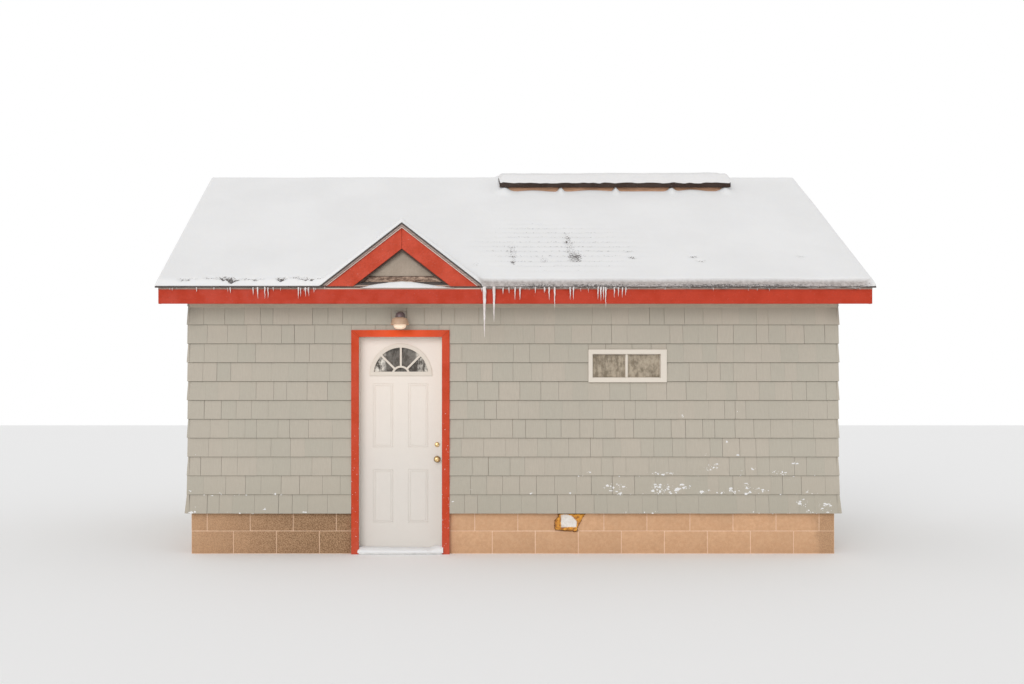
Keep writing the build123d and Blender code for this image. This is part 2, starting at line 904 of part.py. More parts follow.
def light_bars():
    """The sunburst: a hub and three rays, inside the fan light's glass outline."""
    with BuildSketch(mode=Mode.PRIVATE) as bars:
        with Locations((door_middle_x, light_z)):
            Circle(light_hub_radius)
            Circle(light_hub_radius - light_bar_width, mode=Mode.SUBTRACT)
        for angle in light_bar_angles:
            turn = radians(angle)
            middle = (light_hub_radius - light_bar_width / 2 + light_glass_radius) / 2
            length = light_glass_radius - light_hub_radius + light_bar_width
            place = (door_middle_x + middle * cos(turn), light_z + middle * sin(turn))
            with Locations(Location(place, angle)):
                Rectangle(length, light_bar_width)
        with BuildSketch(mode=Mode.PRIVATE) as glass_outline:
            half_disc(light_glass_radius + light_bar_width / 2, light_sill)
        add(glass_outline.sketch_local, mode=Mode.INTERSECT)
    return bars.sketch_local


with BuildPart() as door_light_frames:
    for face_y, outward in ((slab_outer_y, -1), (slab_inner_y, 1)):
        outer = face_y + outward * light_frame_projection
        seat = glass_y + outward * light_glass_thickness / 2
        with BuildSketch(Plane.XZ.offset(-outer)):
            half_disc(light_outer_radius, -light_frame_drop)
            with BuildSketch(mode=Mode.PRIVATE) as opening:
                half_disc(light_glass_radius, light_sill)
            add(opening.sketch_local, mode=Mode.SUBTRACT)
            add(light_bars())
        extrude(amount=outward * light_frame_projection)
        with BuildSketch(Plane.XZ.offset(-face_y)):
            half_disc(light_hole_radius, light_sill - light_hole_radius + light_glass_radius)
            with BuildSketch(mode=Mode.PRIVATE) as inner_opening:
                half_disc(light_glass_radius, light_sill)
            add(inner_opening.sketch_local, mode=Mode.SUBTRACT)
            add(light_bars())
        extrude(amount=outward * abs(seat - face_y))
save(door_light_frames, "door_light_frames")

with BuildPart() as door_light_glass:
    with BuildSketch(Plane.XZ.offset(-glass_y)):
        half_disc(light_hole_radius, light_sill - light_hole_radius + light_glass_radius)
    extrude(amount=light_glass_thickness / 2, both=True)
save(door_light_glass, "door_light_glass")

# Lock: two roses and a deadbolt on the leaf, and a pair of knobs that turn together


def turned(outline, place):
    """A (radius, y) outline turned about an axis along Y at an (x, z) place."""
    x, z = place
    with BuildSketch(Plane((x, 0, z), x_dir=(1, 0, 0), z_dir=(0, 0, 1))) as section:
        with BuildLine():
            Polyline(*outline, close=True)
        make_face()
    revolve(section.sketch, axis=Axis((x, 0, z), (0, 1, 0)))


with BuildPart() as lock_roses:
    rose_bore = knob_neck_radius + knob_running_gap
    for face_y, outward in ((slab_outer_y, -1), (slab_inner_y, 1)):
        rim = face_y + outward * rose_thickness
        turned(
            [
                (rose_bore, face_y),
                (rose_radius, face_y),
                (rose_radius - rose_thickness / 2, rim),
                (rose_bore, rim),
            ],
            (lock_x, knob_z),
        )
save(lock_roses, "lock_roses")

with BuildPart() as door_knobs:
    for face_y, outward in ((slab_outer_y, -1), (slab_inner_y, 1)):
        tip = face_y + outward * knob_projection
        waist = tip - outward * 1.4 * knob_radius
        turned(
            [
                (0, face_y),
                (knob_neck_radius, face_y),
                (knob_neck_radius, waist),
                (0.85 * knob_radius, waist + outward * 0.3 * knob_radius),
                (knob_radius, waist + outward * 0.75 * knob_radius),
                (0.85 * knob_radius, tip - outward * 0.12 * knob_radius),
                (0.5 * knob_radius, tip),
                (0, tip),
            ],
            (lock_x, knob_z),
        )
    turned(
        [(0, slab_outer_y), (spindle_radius, slab_outer_y), (spindle_radius, slab_inner_y), (0, slab_inner_y)],
        (lock_x, knob_z),
    )
save(door_knobs, "door_knobs")

with BuildPart() as deadbolt:
    outer_face = slab_outer_y - deadbolt_projection
    inner_face = slab_inner_y + rose_thickness
    turned(
        [
            (0, outer_face),
            (0.6 * deadbolt_radius, outer_face),
            (deadbolt_radius, slab_outer_y - rose_thickness / 2),
            (deadbolt_radius, slab_outer_y),
            (lock_hole_radius - knob_running_gap, slab_outer_y),
            (lock_hole_radius - knob_running_gap, slab_inner_y),
            (deadbolt_radius, slab_inner_y),
            (deadbolt_radius, inner_face),
            (0, inner_face),
        ],
        (lock_x, deadbolt_z),
    )
    turn_length, turn_width, turn_height = thumb_turn
    block(
        (lock_x - turn_width / 2, lock_x + turn_width / 2),
        (inner_face, inner_face + turn_height),
        (deadbolt_z - turn_length / 2, deadbolt_z + turn_length / 2),
    )
save(deadbolt, "deadbolt")

# Hinges: the frame carries the outer knuckles and the pin, the leaf carries the middle knuckle

hinge_x = slab_edge - door_gap / 2
hinge_y = slab_inner_y + hinge_axis_offset
knuckle = (hinge_length - 2 * hinge_knuckle_gap) / 3


def upright(radius, low, high, mode=Mode.ADD):
    """A round bar on the hinge axis between two heights."""
    with Locations((hinge_x, hinge_y, (low + high) / 2)):
        Cylinder(radius, high - low, mode=mode)


with BuildPart() as hinges_on_frame:
    jamb_face = door_middle_x - opening_half
    for height in hinge_heights:
        low = slab_bottom + height - hinge_length / 2
        high = low + hinge_length
        leaf_x = (jamb_face - hinge_leaf_thickness, jamb_face)
        block(leaf_x, (slab_inner_y - hinge_leaf_reach, slab_inner_y), (low, high))
        for ends in ((low, low + knuckle), (high - knuckle, high)):
            block(leaf_x, (slab_inner_y, hinge_y), ends)
            upright(hinge_knuckle_radius, *ends)
        upright(hinge_pin_radius, low, high)
save(hinges_on_frame, "hinges_on_frame")

with BuildPart() as hinges_on_door:
    leaf_x = (slab_edge, slab_edge + hinge_leaf_thickness)
    for height in hinge_heights:
        low = slab_bottom + height - hinge_length / 2
        high = low + hinge_length
        middle = (low + knuckle + hinge_knuckle_gap, high - knuckle - hinge_knuckle_gap)
        block(leaf_x, (slab_inner_y - hinge_leaf_reach, slab_inner_y), (low, high))
        block(leaf_x, (slab_inner_y, hinge_y), middle)
        upright(hinge_knuckle_radius, *middle)
        upright(hinge_pin_radius + hinge_pin_gap, *middle, mode=Mode.SUBTRACT)
save(hinges_on_door, "hinges_on_door")

# Window

glass_opening_x = (window_x[0] + window_left_stile, window_x[1] - window_right_stile)
glass_opening_z = (window_z[0] + window_rail, window_z[1] - window_rail)
glass_x = (glass_opening_x[0] - window_glass_bite, glass_opening_x[1] + window_glass_bite)
glass_z = (glass_opening_z[0] - window_glass_bite, glass_opening_z[1] + window_glass_bite)
window_front = -wall_y - window_projection
window_back = -wall_y + window_depth
pane_y = (-wall_y, -wall_y + window_glass_thickness)

with BuildPart() as window_frame:
    block(window_x, (window_front, -wall_y), window_z)
    block(window_hole_x, (-wall_y, window_back), window_hole_z)
    block(glass_opening_x, (window_front, window_back), glass_opening_z, mode=Mode.SUBTRACT)
    bar_x = window_middle_x + window_bar_shift
    block(
        (bar_x - window_bar_width / 2, bar_x + window_bar_width / 2),
        (window_front + board_thickness, window_back - board_thickness),
        glass_opening_z,
    )
    block(glass_x, pane_y, glass_z, mode=Mode.SUBTRACT)
save(window_frame, "window_frame")

with BuildPart() as window_glass:
    block(glass_x, pane_y, glass_z)
save(window_glass, "window_glass")

# Lamp: a block and arm on the wall, a bell shade and a glass globe under it

lamp_arm_z = lamp_block_z + lamp_block_size / 4
shade_rim_z = lamp_bottom_z + lamp_globe_drop
shade_top_z = lamp_arm_z - lamp_arm_radius - lamp_neck_height


def lamp_turned(outline):
    """A (radius, z) outline turned about the lamp's upright axis."""
    with BuildSketch(Plane((door_middle_x, lamp_y, 0), x_dir=(1, 0, 0), z_dir=(0, -1, 0))) as section:
        with BuildLine():
            Polyline(*outline, close=True)
        make_face()
    revolve(section.sketch, axis=Axis((door_middle_x, lamp_y, 0), (0, 0, 1)))


with BuildPart() as lamp_bracket:
    block(lamp_block_x, (-wall_y - lamp_block_thickness, -wall_y), lamp_block_heights)
    with BuildSketch(Plane.XZ.offset(wall_y + lamp_block_thickness)):
        with Locations((door_middle_x, lamp_arm_z)):
            Circle(lamp_arm_radius)
    extrude(amount=lamp_axis_reach - lamp_block_thickness)
    lamp_turned(
        [
            (0, shade_top_z),
            (lamp_neck_radius, shade_top_z),
            (lamp_neck_radius, lamp_arm_z + lamp_arm_radius),
            (0.6 * lamp_neck_radius, lamp_arm_z + 2 * lamp_arm_radius),
            (0, lamp_arm_z + 2 * lamp_arm_radius),
        ]
    )
save(lamp_bracket, "lamp_bracket")

shade_wall = 3.0
shade_lip = 10.0
with BuildPart() as lamp_shade:
    lamp_turned(
        [
            (0, shade_top_z),
            (lamp_neck_radius + 2 * shade_wall, shade_top_z),
            (0.8 * lamp_shade_radius, (shade_top_z + shade_rim_z + 3 * shade_lip) / 2),
            (lamp_shade_radius, shade_rim_z + shade_lip),
            (lamp_shade_radius, shade_rim_z),
            (lamp_shade_radius - shade_wall, shade_rim_z),
            (lamp_shade_radius - shade_wall, shade_rim_z + shade_lip - shade_wall),
            (lamp_globe_radius, shade_rim_z + shade_lip),
            (0, shade_rim_z + shade_lip),
        ]
    )
save(lamp_shade, "lamp_shade")

with BuildPart() as lamp_globe:
    lamp_turned(
        [
            (0, shade_rim_z + shade_lip),
            (lamp_globe_radius, shade_rim_z + shade_lip),
            (lamp_globe_radius, lamp_bottom_z + 0.5 * lamp_globe_radius),
            (0.85 * lamp_globe_radius, lamp_bottom_z + 0.2 * lamp_globe_radius),
            (0.5 * lamp_globe_radius, lamp_bottom_z),
            (0, lamp_bottom_z),
        ]
    )
save(lamp_globe, "lamp_globe")
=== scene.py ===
import itertools
import json
import math

import bmesh
import bpy
import numpy as np
from bpy.props import FloatProperty, FloatVectorProperty, IntProperty, PointerProperty
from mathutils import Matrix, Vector


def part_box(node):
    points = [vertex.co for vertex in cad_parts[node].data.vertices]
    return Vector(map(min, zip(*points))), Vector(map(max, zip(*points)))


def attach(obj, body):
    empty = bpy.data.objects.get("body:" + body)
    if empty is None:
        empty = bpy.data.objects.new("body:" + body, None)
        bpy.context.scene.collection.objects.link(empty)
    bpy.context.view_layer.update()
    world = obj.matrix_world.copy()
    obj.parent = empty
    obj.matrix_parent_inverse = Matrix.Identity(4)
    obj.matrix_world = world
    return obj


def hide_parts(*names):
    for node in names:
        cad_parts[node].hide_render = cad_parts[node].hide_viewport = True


bl_info = {
    "name": "Sauna Cabin",
    "version": (1, 0, 0),
    "blender": (4, 5, 0),
    "location": "View3D > Sidebar > Cabin",
    "description": "Dresses a small shingled sauna cabin in winter: cladding, roof, snow, door and lamp",
    "category": "Object",
}

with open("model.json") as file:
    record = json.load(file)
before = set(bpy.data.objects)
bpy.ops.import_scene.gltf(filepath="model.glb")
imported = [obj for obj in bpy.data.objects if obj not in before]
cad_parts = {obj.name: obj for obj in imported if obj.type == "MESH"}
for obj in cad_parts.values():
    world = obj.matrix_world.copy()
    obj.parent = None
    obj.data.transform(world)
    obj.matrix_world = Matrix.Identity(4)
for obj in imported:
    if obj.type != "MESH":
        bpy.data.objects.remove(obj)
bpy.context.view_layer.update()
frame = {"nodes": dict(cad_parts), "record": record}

# Places read from the frame, in metres

wall_low, wall_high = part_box("long_walls")
cladding_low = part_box("cladding_long_sides")[0]
casing_low, casing_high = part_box("door_casing")
leaf_low, leaf_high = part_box("door_leaf")
window_low, window_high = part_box("window_frame")
roof_low, roof_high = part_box("roof_shingles_front")
fascia_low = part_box("fascias")[0]
plinth_low, plinth_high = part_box("plinth_long_sides")
door_x = (casing_low.x + casing_high.x) / 2
ROOF_PITCH = math.radians(33.2)
ROOF_SLOPE = math.tan(ROOF_PITCH)
ROOF_UP = Vector((0, math.cos(ROOF_PITCH), math.sin(ROOF_PITCH)))
SHINGLE_BUTT = 0.012
eave_y = -2.1928  # the lower edge of the front covering
deck_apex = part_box("roof_deck_front")[1].z
roof_apex = deck_apex + SHINGLE_BUTT / math.cos(ROOF_PITCH)
slope_length = -eave_y / math.cos(ROOF_PITCH)


# Sizes and colours that a user would change


def colour(label, value, use):
    """A colour property, written as the linear colour of the real finish."""
    return FloatVectorProperty(
        name=label, description=use, default=value, size=3, min=0.0, max=1.0, subtype="COLOR"
    )


def length(label, value, use):
    """A length property in metres."""
    return FloatProperty(name=label, description=use, default=value, unit="LENGTH", precision=4)


class CabinCladding(bpy.types.PropertyGroup):
    exposure: length("Exposure", 0.1783, "Height of a shingle course that shows")
    width: length("Shingle Width", 0.168, "Mean width of a wall shingle")
    gap: length("Gap", 0.004, "Widest gap between neighbouring shingles")
    lap: length("Lap", 0.022, "How far a shingle runs up behind the next course")
    seed: IntProperty(name="Seed", description="Changes the pattern of widths", default=7)
    paint: colour("Paint", (0.467, 0.424, 0.358), "Sage grey paint on the wall shingles")
    red: colour("Trim Red", (0.5, 0.038, 0.01), "Paint on the fascias, false gable and door casing")


class CabinPlinth(bpy.types.PropertyGroup):
    block_length: length("Block Length", 0.4083, "Length of a block with its joint")
    course: length("Course", 0.2165, "Height of the top course, which runs up behind the cladding")
    joint: length("Joint", 0.007, "Width of a mortar joint")
    paint: colour("Paint", (0.7, 0.43, 0.255), "Tan paint on the blocks")
    mortar: colour("Mortar", (0.92, 0.66, 0.48), "Paler mortar in the joints")


class CabinRoof(bpy.types.PropertyGroup):
    exposure: length("Exposure", 0.1085, "Height of a roof course that shows")
    tab: length("Tab Width", 0.305, "Width of one tab")
    colour: colour("Covering", (0.06, 0.05, 0.047), "Dark brown mineral roof shingles")


class CabinSnow(bpy.types.PropertyGroup):
    depth: length("Depth", 0.046, "Mean depth of the snow on the roof")
    step: length("Grid Step", 0.0205, "Spacing of the snow surface's grid on the front slope")
    colour: colour("Snow", (0.782, 0.779, 0.779), "Settled snow")


class CabinDoor(bpy.types.PropertyGroup):
    enamel: colour("Enamel", (0.737, 0.684, 0.622), "Off-white enamel on the door")
    plastic: colour("Plastic", (0.71, 0.645, 0.56), "White plastic of the window and the fan light")
    casing: colour("Casing", (0.56, 0.052, 0.012), "Orange-red paint on the door's casing")
    brass: colour("Brass", (0.72, 0.52, 0.26), "Brass of the knob and the deadbolt")


class CabinView(bpy.types.PropertyGroup):
    place: FloatVectorProperty(
        name="Camera Place",
        description="Where the camera stands, in the cabin's frame",
        default=(-0.616, -11.409, 1.496),
        subtype="TRANSLATION",
        unit="LENGTH",
    )
    lens: FloatProperty(name="Lens", description="Focal length of the camera in millimetres", default=35.5)
    shift_x: FloatProperty(name="Shift X", description="Sideways shift of the camera's frame", default=0.0625)
    shift_y: FloatProperty(name="Shift Y", description="Upward shift of the camera's frame", default=0.0527)


GROUPS = {
    "cabin_cladding": CabinCladding,
    "cabin_plinth": CabinPlinth,
    "cabin_roof": CabinRoof,
    "cabin_snow": CabinSnow,
    "cabin_door": CabinDoor,
    "cabin_view": CabinView,
}


# Node trees


class Nodes:
    """Adds nodes to a tree and links them, for shader and geometry trees alike."""

    def __init__(self, tree):
        self.tree = tree

    def add(self, kind, inputs=None, **settings):
        node = self.tree.nodes.new(kind)
        for key, value in settings.items():
            setattr(node, key, value)
        for key, value in (inputs or {}).items():
            self.feed(node.inputs[key], value)
        return node

    def feed(self, socket, value):
        if isinstance(value, bpy.types.NodeSocket):
            self.tree.links.new(value, socket)
        else:
            socket.default_value = value

    def math(self, operation, a, b=0.0):
        return self.add("ShaderNodeMath", {0: a, 1: b}, operation=operation).outputs[0]

    def plus(self, a, b):
        return self.math("ADD", a, b)

    def minus(self, a, b):
        return self.math("SUBTRACT", a, b)

    def times(self, a, b):
        return self.math("MULTIPLY", a, b)

    def vector(self, operation, a, b=(0.0, 0.0, 0.0)):
        return self.add("ShaderNodeVectorMath", {0: a, 1: b}, operation=operation).outputs[0]

    def scaled(self, a, scale):
        return self.add("ShaderNodeVectorMath", {0: a, "Scale": scale}, operation="SCALE").outputs[0]

    def ramp(self, value, low, high, out_low=0.0, out_high=1.0):
        """A value turned from low..high into out_low..out_high, with soft ends."""
        inputs = {"Value": value, "From Min": low, "From Max": high, "To Min": out_low, "To Max": out_high}
        return self.add("ShaderNodeMapRange", inputs, interpolation_type="SMOOTHSTEP").outputs[0]

    def mix(self, factor, a, b, blend="MIX"):
        a, b = ((*each, 1.0) if isinstance(each, tuple) else each for each in (a, b))
        node = self.add("ShaderNodeMix", {0: factor, 6: a, 7: b}, data_type="RGBA", blend_type=blend)
        return node.outputs[2]

    def laid(self, base, mask, share, over):
        """The base colour, with a share of another laid over it where the mask is."""
        return self.mix(self.times(mask, share), base, over)

    def noise(self, where, scale, detail, roughness=0.55):
        inputs = {"Vector": where, "Scale": scale, "Detail": detail, "Roughness": roughness}
        return self.add("ShaderNodeTexNoise", inputs).outputs["Fac"]

    def where(self):
        """The place of a point on its piece."""
        return self.add("ShaderNodeTexCoord").outputs["Object"]

    def parts(self, vector):
        return self.add("ShaderNodeSeparateXYZ", {0: vector}).outputs

    def layer(self, name):
        """A number that the mesh carries."""
        return self.add("ShaderNodeAttribute", attribute_name=name).outputs["Fac"]


def shader_group(name, inputs, outputs):
    """An empty shader node group with named sockets, and its node helper and ends."""
    tree = bpy.data.node_groups.new(name, "ShaderNodeTree")
    for label, kind, value in inputs:
        socket = tree.interface.new_socket(label, in_out="INPUT", socket_type=kind)
        socket.default_value = value
    for label, kind in outputs:
        tree.interface.new_socket(label, in_out="OUTPUT", socket_type=kind)
    nodes = Nodes(tree)
    return nodes, nodes.add("NodeGroupInput").outputs, nodes.add("NodeGroupOutput").inputs


def grain_group():
    """Streaks along one direction with finer fibres, for shingles, boards and rubbed metal."""
    nodes, given, out = shader_group(
        "Wood Grain",
        [("Stretch", "NodeSocketVector", (60.0, 60.0, 2.0))],
        [("Mask", "NodeSocketFloat"), ("Height", "NodeSocketFloat")],
    )
    placed = nodes.vector("MULTIPLY", nodes.where(), given["Stretch"])
    broad = nodes.noise(placed, 1.0, 4.0, 0.6)
    fine = nodes.noise(placed, 4.3, 2.0, 0.5)
    both = nodes.plus(nodes.times(broad, 0.65), nodes.times(fine, 0.35))
    nodes.feed(out["Mask"], nodes.ramp(both, 0.36, 0.64))
    nodes.feed(out["Height"], both)
    return nodes.tree


def weather_group():
    """Soft stains, and damp that rises from the ground or falls from an eave."""
    nodes, given, out = shader_group(
        "Weathering",
        [
            ("Scale", "NodeSocketFloat", 2.0),
            ("Damp From", "NodeSocketFloat", 0.0),
            ("Damp To", "NodeSocketFloat", 0.6),
        ],
        [("Stain", "NodeSocketFloat"), ("Damp", "NodeSocketFloat")],
    )
    where = nodes.where()
    stain = nodes.noise(where, given["Scale"], 5.0, 0.62)
    height = nodes.parts(where)["Z"]
    edge = nodes.plus(height, nodes.times(nodes.minus(stain, 0.5), 0.5))
    nodes.feed(out["Stain"], nodes.ramp(stain, 0.34, 0.7))
    nodes.feed(out["Damp"], nodes.ramp(edge, given["Damp To"], given["Damp From"]))
    return nodes.tree


def grit_group():
    """Grains and pits, for mineral roof shingles, concrete and snow."""
    nodes, given, out = shader_group(
        "Grit",
        [("Scale", "NodeSocketFloat", 400.0), ("Pits", "NodeSocketFloat", 60.0)],
        [("Shade", "NodeSocketFloat"), ("Height", "NodeSocketFloat")],
    )
    where = nodes.where()
    cells = nodes.add("ShaderNodeTexVoronoi", {"Vector": where, "Scale": given["Scale"]})
    shade = nodes.add("ShaderNodeSeparateColor", {0: cells.outputs["Color"]}).outputs[0]
    pits = nodes.ramp(nodes.noise(where, given["Pits"], 3.0, 0.6), 0.3, 0.48)
    nodes.feed(out["Shade"], shade)
    nodes.feed(out["Height"], nodes.plus(nodes.times(shade, 0.3), pits))
    return nodes.tree


GROUP_MAKERS = {"Wood Grain": grain_group, "Weathering": weather_group, "Grit": grit_group}


def placed_group(nodes, name, **values):
    """A shared group in a material, with that material's own values."""
    tree = bpy.data.node_groups.get(name) or GROUP_MAKERS[name]()
    node = nodes.add("ShaderNodeGroup", node_tree=tree)
    for key, value in values.items():
        nodes.feed(node.inputs[key.replace("_", " ")], value)
    return node.outputs


def finish(name, **constants):
    """A new material, with the constants of its Principled shader set."""
    material = bpy.data.materials.new(name)
    material.use_nodes = True
    nodes = Nodes(material.node_tree)
    shader = material.node_tree.nodes["Principled BSDF"]
    for key, value in constants.items():
        shader.inputs[key.replace("_", " ")].default_value = value
    return material, nodes, shader.inputs


def bump(nodes, sockets, height, distance, strength):
    """Feeds a height into the shader's normal through a bump."""
    node = nodes.add("ShaderNodeBump", {"Height": height, "Distance": distance, "Strength": strength})
    nodes.feed(sockets["Normal"], node.outputs[0])


def toned(paint, *shares):
    """A paint's colour, darker or lighter by one share or by one for each channel."""
    shares = shares if len(shares) == 3 else shares * 3
    return tuple(min(1.0, c * share) for c, share in zip(paint, shares))


def once(maker):
    """Keeps the one thing that a maker makes from each set of values."""
    made = {}

    def kept(*values):
        key = tuple(tuple(v[:]) if hasattr(v, "__len__") and not isinstance(v, str) else v for v in values)
        if key not in made:
            made[key] = maker(*values)
        return made[key]

    return kept


@once
def painted_shingle():
    """Sage paint over split cedar: streaks, a tint for each shingle, damp, painted shade at each butt, painted
    light under the eave.
    """
    cladding = bpy.context.scene.cabin_cladding
    paint = tuple(cladding.paint)
    material, nodes, sockets = finish("painted_shingle", Roughness=0.82)
    grain = placed_group(nodes, "Wood Grain", Stretch=(150.0, 150.0, 3.2))
    weather = placed_group(nodes, "Weathering", Scale=1.4, Damp_From=0.3, Damp_To=0.95)
    tint = nodes.layer("tint")
    dark = toned(paint, 0.72, 0.71, 0.68)
    sage = toned(paint, 0.965, 0.985, 0.975)
    beige = toned(paint, 1.045, 1.03, 1.02)
    base = nodes.mix(tint, sage, beige)
    base = nodes.laid(base, grain["Mask"], 0.2, dark)
    base = nodes.laid(base, weather["Stain"], 0.1, toned(paint, 0.7))
    base = nodes.laid(base, weather["Damp"], 0.36, (0.345, 0.32, 0.255))
    where = nodes.where()
    place = nodes.parts(where)
    height = place["Z"]
    # A thin dark line just under each butt: painted shade cast by the butt above.
    course = nodes.math("DIVIDE", nodes.minus(height, cladding_low.z), cladding.exposure)
    butt_shade = nodes.ramp(nodes.math("FRACT", course), 0.968, 0.985, 0.0, 0.62)
    base = nodes.mix(butt_shade, base, (0.1, 0.088, 0.066))
    # Paler toward the eave on the long sides: painted light that lifts the shade under the eave.
    long_side = nodes.ramp(nodes.math("ABSOLUTE", place["X"]), 3.05, 2.9)
    eave = nodes.times(nodes.ramp(height, 2.05, 2.32), long_side)
    base = nodes.mix(eave, base, nodes.mix(1.0, base, (0.83, 0.83, 0.83), "DIVIDE"))
    nodes.feed(sockets["Base Color"], base)
    bump(nodes, sockets, grain["Height"], 0.0022, 0.75)
    return material


@once
def painted_board(name, paint, stretch, wear, lit=None):
    """Paint on a sawn board, with faint grain, dirt and a little wear; lit is the colour of a painted glow of
    the lamp's light close to the lamp.
    """
    paint = tuple(paint)
    material, nodes, sockets = finish(name, Specular_IOR_Level=0.3)
    grain = placed_group(nodes, "Wood Grain", Stretch=stretch)
    weather = placed_group(nodes, "Weathering", Scale=7.0, Damp_From=-0.2, Damp_To=0.45)
    where = nodes.where()
    chips = nodes.ramp(nodes.noise(where, 120.0, 3.0, 0.6), 0.66, 0.72)
    base = nodes.mix(nodes.times(grain["Mask"], 0.25), paint, toned(paint, 0.78))
    base = nodes.laid(base, weather["Stain"], wear, toned(paint, 0.7))
    base = nodes.laid(base, weather["Damp"], 0.12, (0.42, 0.3, 0.24))
    base = nodes.laid(base, chips, wear * 1.4, tuple(c * 0.5 + 0.3 for c in paint))
    specks = nodes.ramp(nodes.noise(where, 75.0, 4.0, 0.7), 0.5, 0.66)
    base = nodes.laid(base, specks, wear, toned(paint, 0.62))
    # Painted light: a pool of the lamp's glow, in the lit colour, fading with distance from the lamp.
    if lit:
        shade_low, shade_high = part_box("lamp_shade")
        lamp = ((shade_low.x + shade_high.x) / 2, casing_low.y, shade_low.z - 0.04)
        away = nodes.add("ShaderNodeVectorMath", {0: where, 1: lamp}, operation="DISTANCE")
        base = nodes.mix(nodes.ramp(away.outputs["Value"], 0.6, 0.03, 0.0, 0.85), base, lit)
    nodes.feed(sockets["Base Color"], base)
    nodes.feed(sockets["Roughness"], nodes.ramp(weather["Stain"], 0.0, 1.0, 0.5, 0.72))
    bump(nodes, sockets, grain["Height"], 0.0012, 0.5)
    return material


@once
def bare_wood(name, light, dark, stretch):
    """Sawn softwood, new or greyed."""
    material, nodes, sockets = finish(name, Roughness=0.78)
    grain = placed_group(nodes, "Wood Grain", Stretch=stretch)
    weather = placed_group(nodes, "Weathering", Scale=2.6)
    base = nodes.mix(grain["Mask"], tuple(light), tuple(dark))
    base = nodes.laid(base, weather["Stain"], 0.25, toned(dark, 0.6))
    nodes.feed(sockets["Base Color"], base)
    bump(nodes, sockets, grain["Height"], 0.0015, 0.6)
    return material


@once
def painted_block(name, paint, strength, age=0.0):
    """Paint on rough block or mortar; with age it is worn to brown left of the door and at the ends."""
    paint = tuple(paint)
    material, nodes, sockets = finish(name, Roughness=0.86, Specular_IOR_Level=0.3)
    where = nodes.where()
    grit = placed_group(nodes, "Grit", Scale=260.0, Pits=95.0)
    weather = placed_group(nodes, "Weathering", Scale=4.5, Damp_From=0.0, Damp_To=0.3)
    tint = nodes.layer("tint")
    mottle = nodes.ramp(nodes.noise(where, 38.0, 6.0, 0.72), 0.36, 0.64)
    base = nodes.mix(tint, toned(paint, 0.94), toned(paint, 1.05))
    base = nodes.laid(base, mottle, 0.4, toned(paint, 0.76, 0.63, 0.52))
    blots = nodes.ramp(nodes.noise(where, 15.0, 5.0, 0.7), 0.4, 0.64)
    base = nodes.laid(base, blots, 0.3, toned(paint, 0.8, 0.78, 0.76))
    base = nodes.laid(base, weather["Stain"], 0.2, toned(paint, 0.78))
    base = nodes.laid(base, grit["Shade"], 0.14, toned(paint, 0.6))
    if age:
        place = nodes.parts(where)
        x = nodes.plus(place["X"], -0.12)
        x = nodes.plus(x, nodes.times(nodes.noise(where, 7.0, 4.0, 0.6), 0.24))
        left = nodes.times(nodes.ramp(x, -1.45, -1.52), nodes.ramp(x, -3.1, -1.85, 0.5, 1.0))
        right = nodes.ramp(x, 2.8, 2.95, 0.0, 0.55)
        foot = nodes.times(weather["Damp"], 0.2)
        rough = nodes.ramp(nodes.noise(where, 120.0, 5.0, 0.75), 0.36, 0.64)
        brown = nodes.mix(rough, (0.17, 0.09, 0.042), (0.47, 0.295, 0.17))
        worn = nodes.times(nodes.math("MAXIMUM", left, right), nodes.ramp(place["Y"], -0.9, -1.7))
        worn = nodes.math("MAXIMUM", worn, foot)
        base = nodes.laid(base, worn, age, brown)
    nodes.feed(sockets["Base Color"], base)
    bump(nodes, sockets, grit["Height"], 0.003, strength)
    return material


@once
def mineral_shingle():
    """Dark brown mineral grains, tinted tab by tab."""
    shade = tuple(bpy.context.scene.cabin_roof.colour)
    material, nodes, sockets = finish("mineral_shingle", Roughness=0.92)
    grit = placed_group(nodes, "Grit", Scale=700.0, Pits=300.0)
    tint = nodes.layer("tint")
    base = nodes.mix(tint, toned(shade, 0.75), toned(shade, 1.5))
    base = nodes.laid(base, grit["Shade"], 0.6, (0.2, 0.17, 0.15))
    nodes.feed(sockets["Base Color"], base)
    bump(nodes, sockets, grit["Height"], 0.0012, 0.8)
    return material


@once
def settled_snow():
    """Snow: soft hollows and fine crystals, greyer where it is icy, with dark flecks where it is thin."""
    white = tuple(bpy.context.scene.cabin_snow.colour)
    scatter = {"Subsurface_Weight": 0.12, "Subsurface_Radius": (0.02, 0.022, 0.026)}
    material, nodes, sockets = finish("settled_snow", **scatter)
    where = nodes.where()
    grit = placed_group(nodes, "Grit", Scale=380.0, Pits=22.0)
    thin = nodes.layer("thin")
    ice = nodes.layer("ice")
    soft = nodes.noise(where, 1.3, 4.0, 0.5)
    base = nodes.mix(nodes.ramp(soft, 0.3, 0.7), toned(white, 0.955), white)
    patches = nodes.ramp(nodes.noise(where, 26.0, 6.0, 0.7), 0.36, 0.64)
    base = nodes.mix(ice, base, nodes.mix(patches, (0.32, 0.28, 0.262), (0.5, 0.455, 0.435)))
    base = nodes.mix(nodes.ramp(thin, 0.05, 0.45, 0.0, 0.3), base, (0.5, 0.485, 0.48))
    stretched = nodes.vector("MULTIPLY", where, (64.0, 100.0, 100.0))
    flecks = nodes.plus(thin, nodes.times(nodes.noise(stretched, 1.0, 4.0, 0.65), 2.6))
    flecks = nodes.times(nodes.ramp(flecks, 1.62, 1.8, 0.0, 0.95), nodes.ramp(thin, 0.03, 0.12))
    base = nodes.mix(flecks, base, (0.075, 0.062, 0.058))
    nodes.feed(sockets["Base Color"], base)
    nodes.feed(sockets["Roughness"], nodes.ramp(ice, 0.0, 1.0, 0.62, 0.4))
    height = nodes.plus(nodes.times(grit["Height"], 0.2), nodes.noise(where, 9.0, 4.0, 0.55))
    bump(nodes, sockets, height, 0.008, 0.35)
    return material


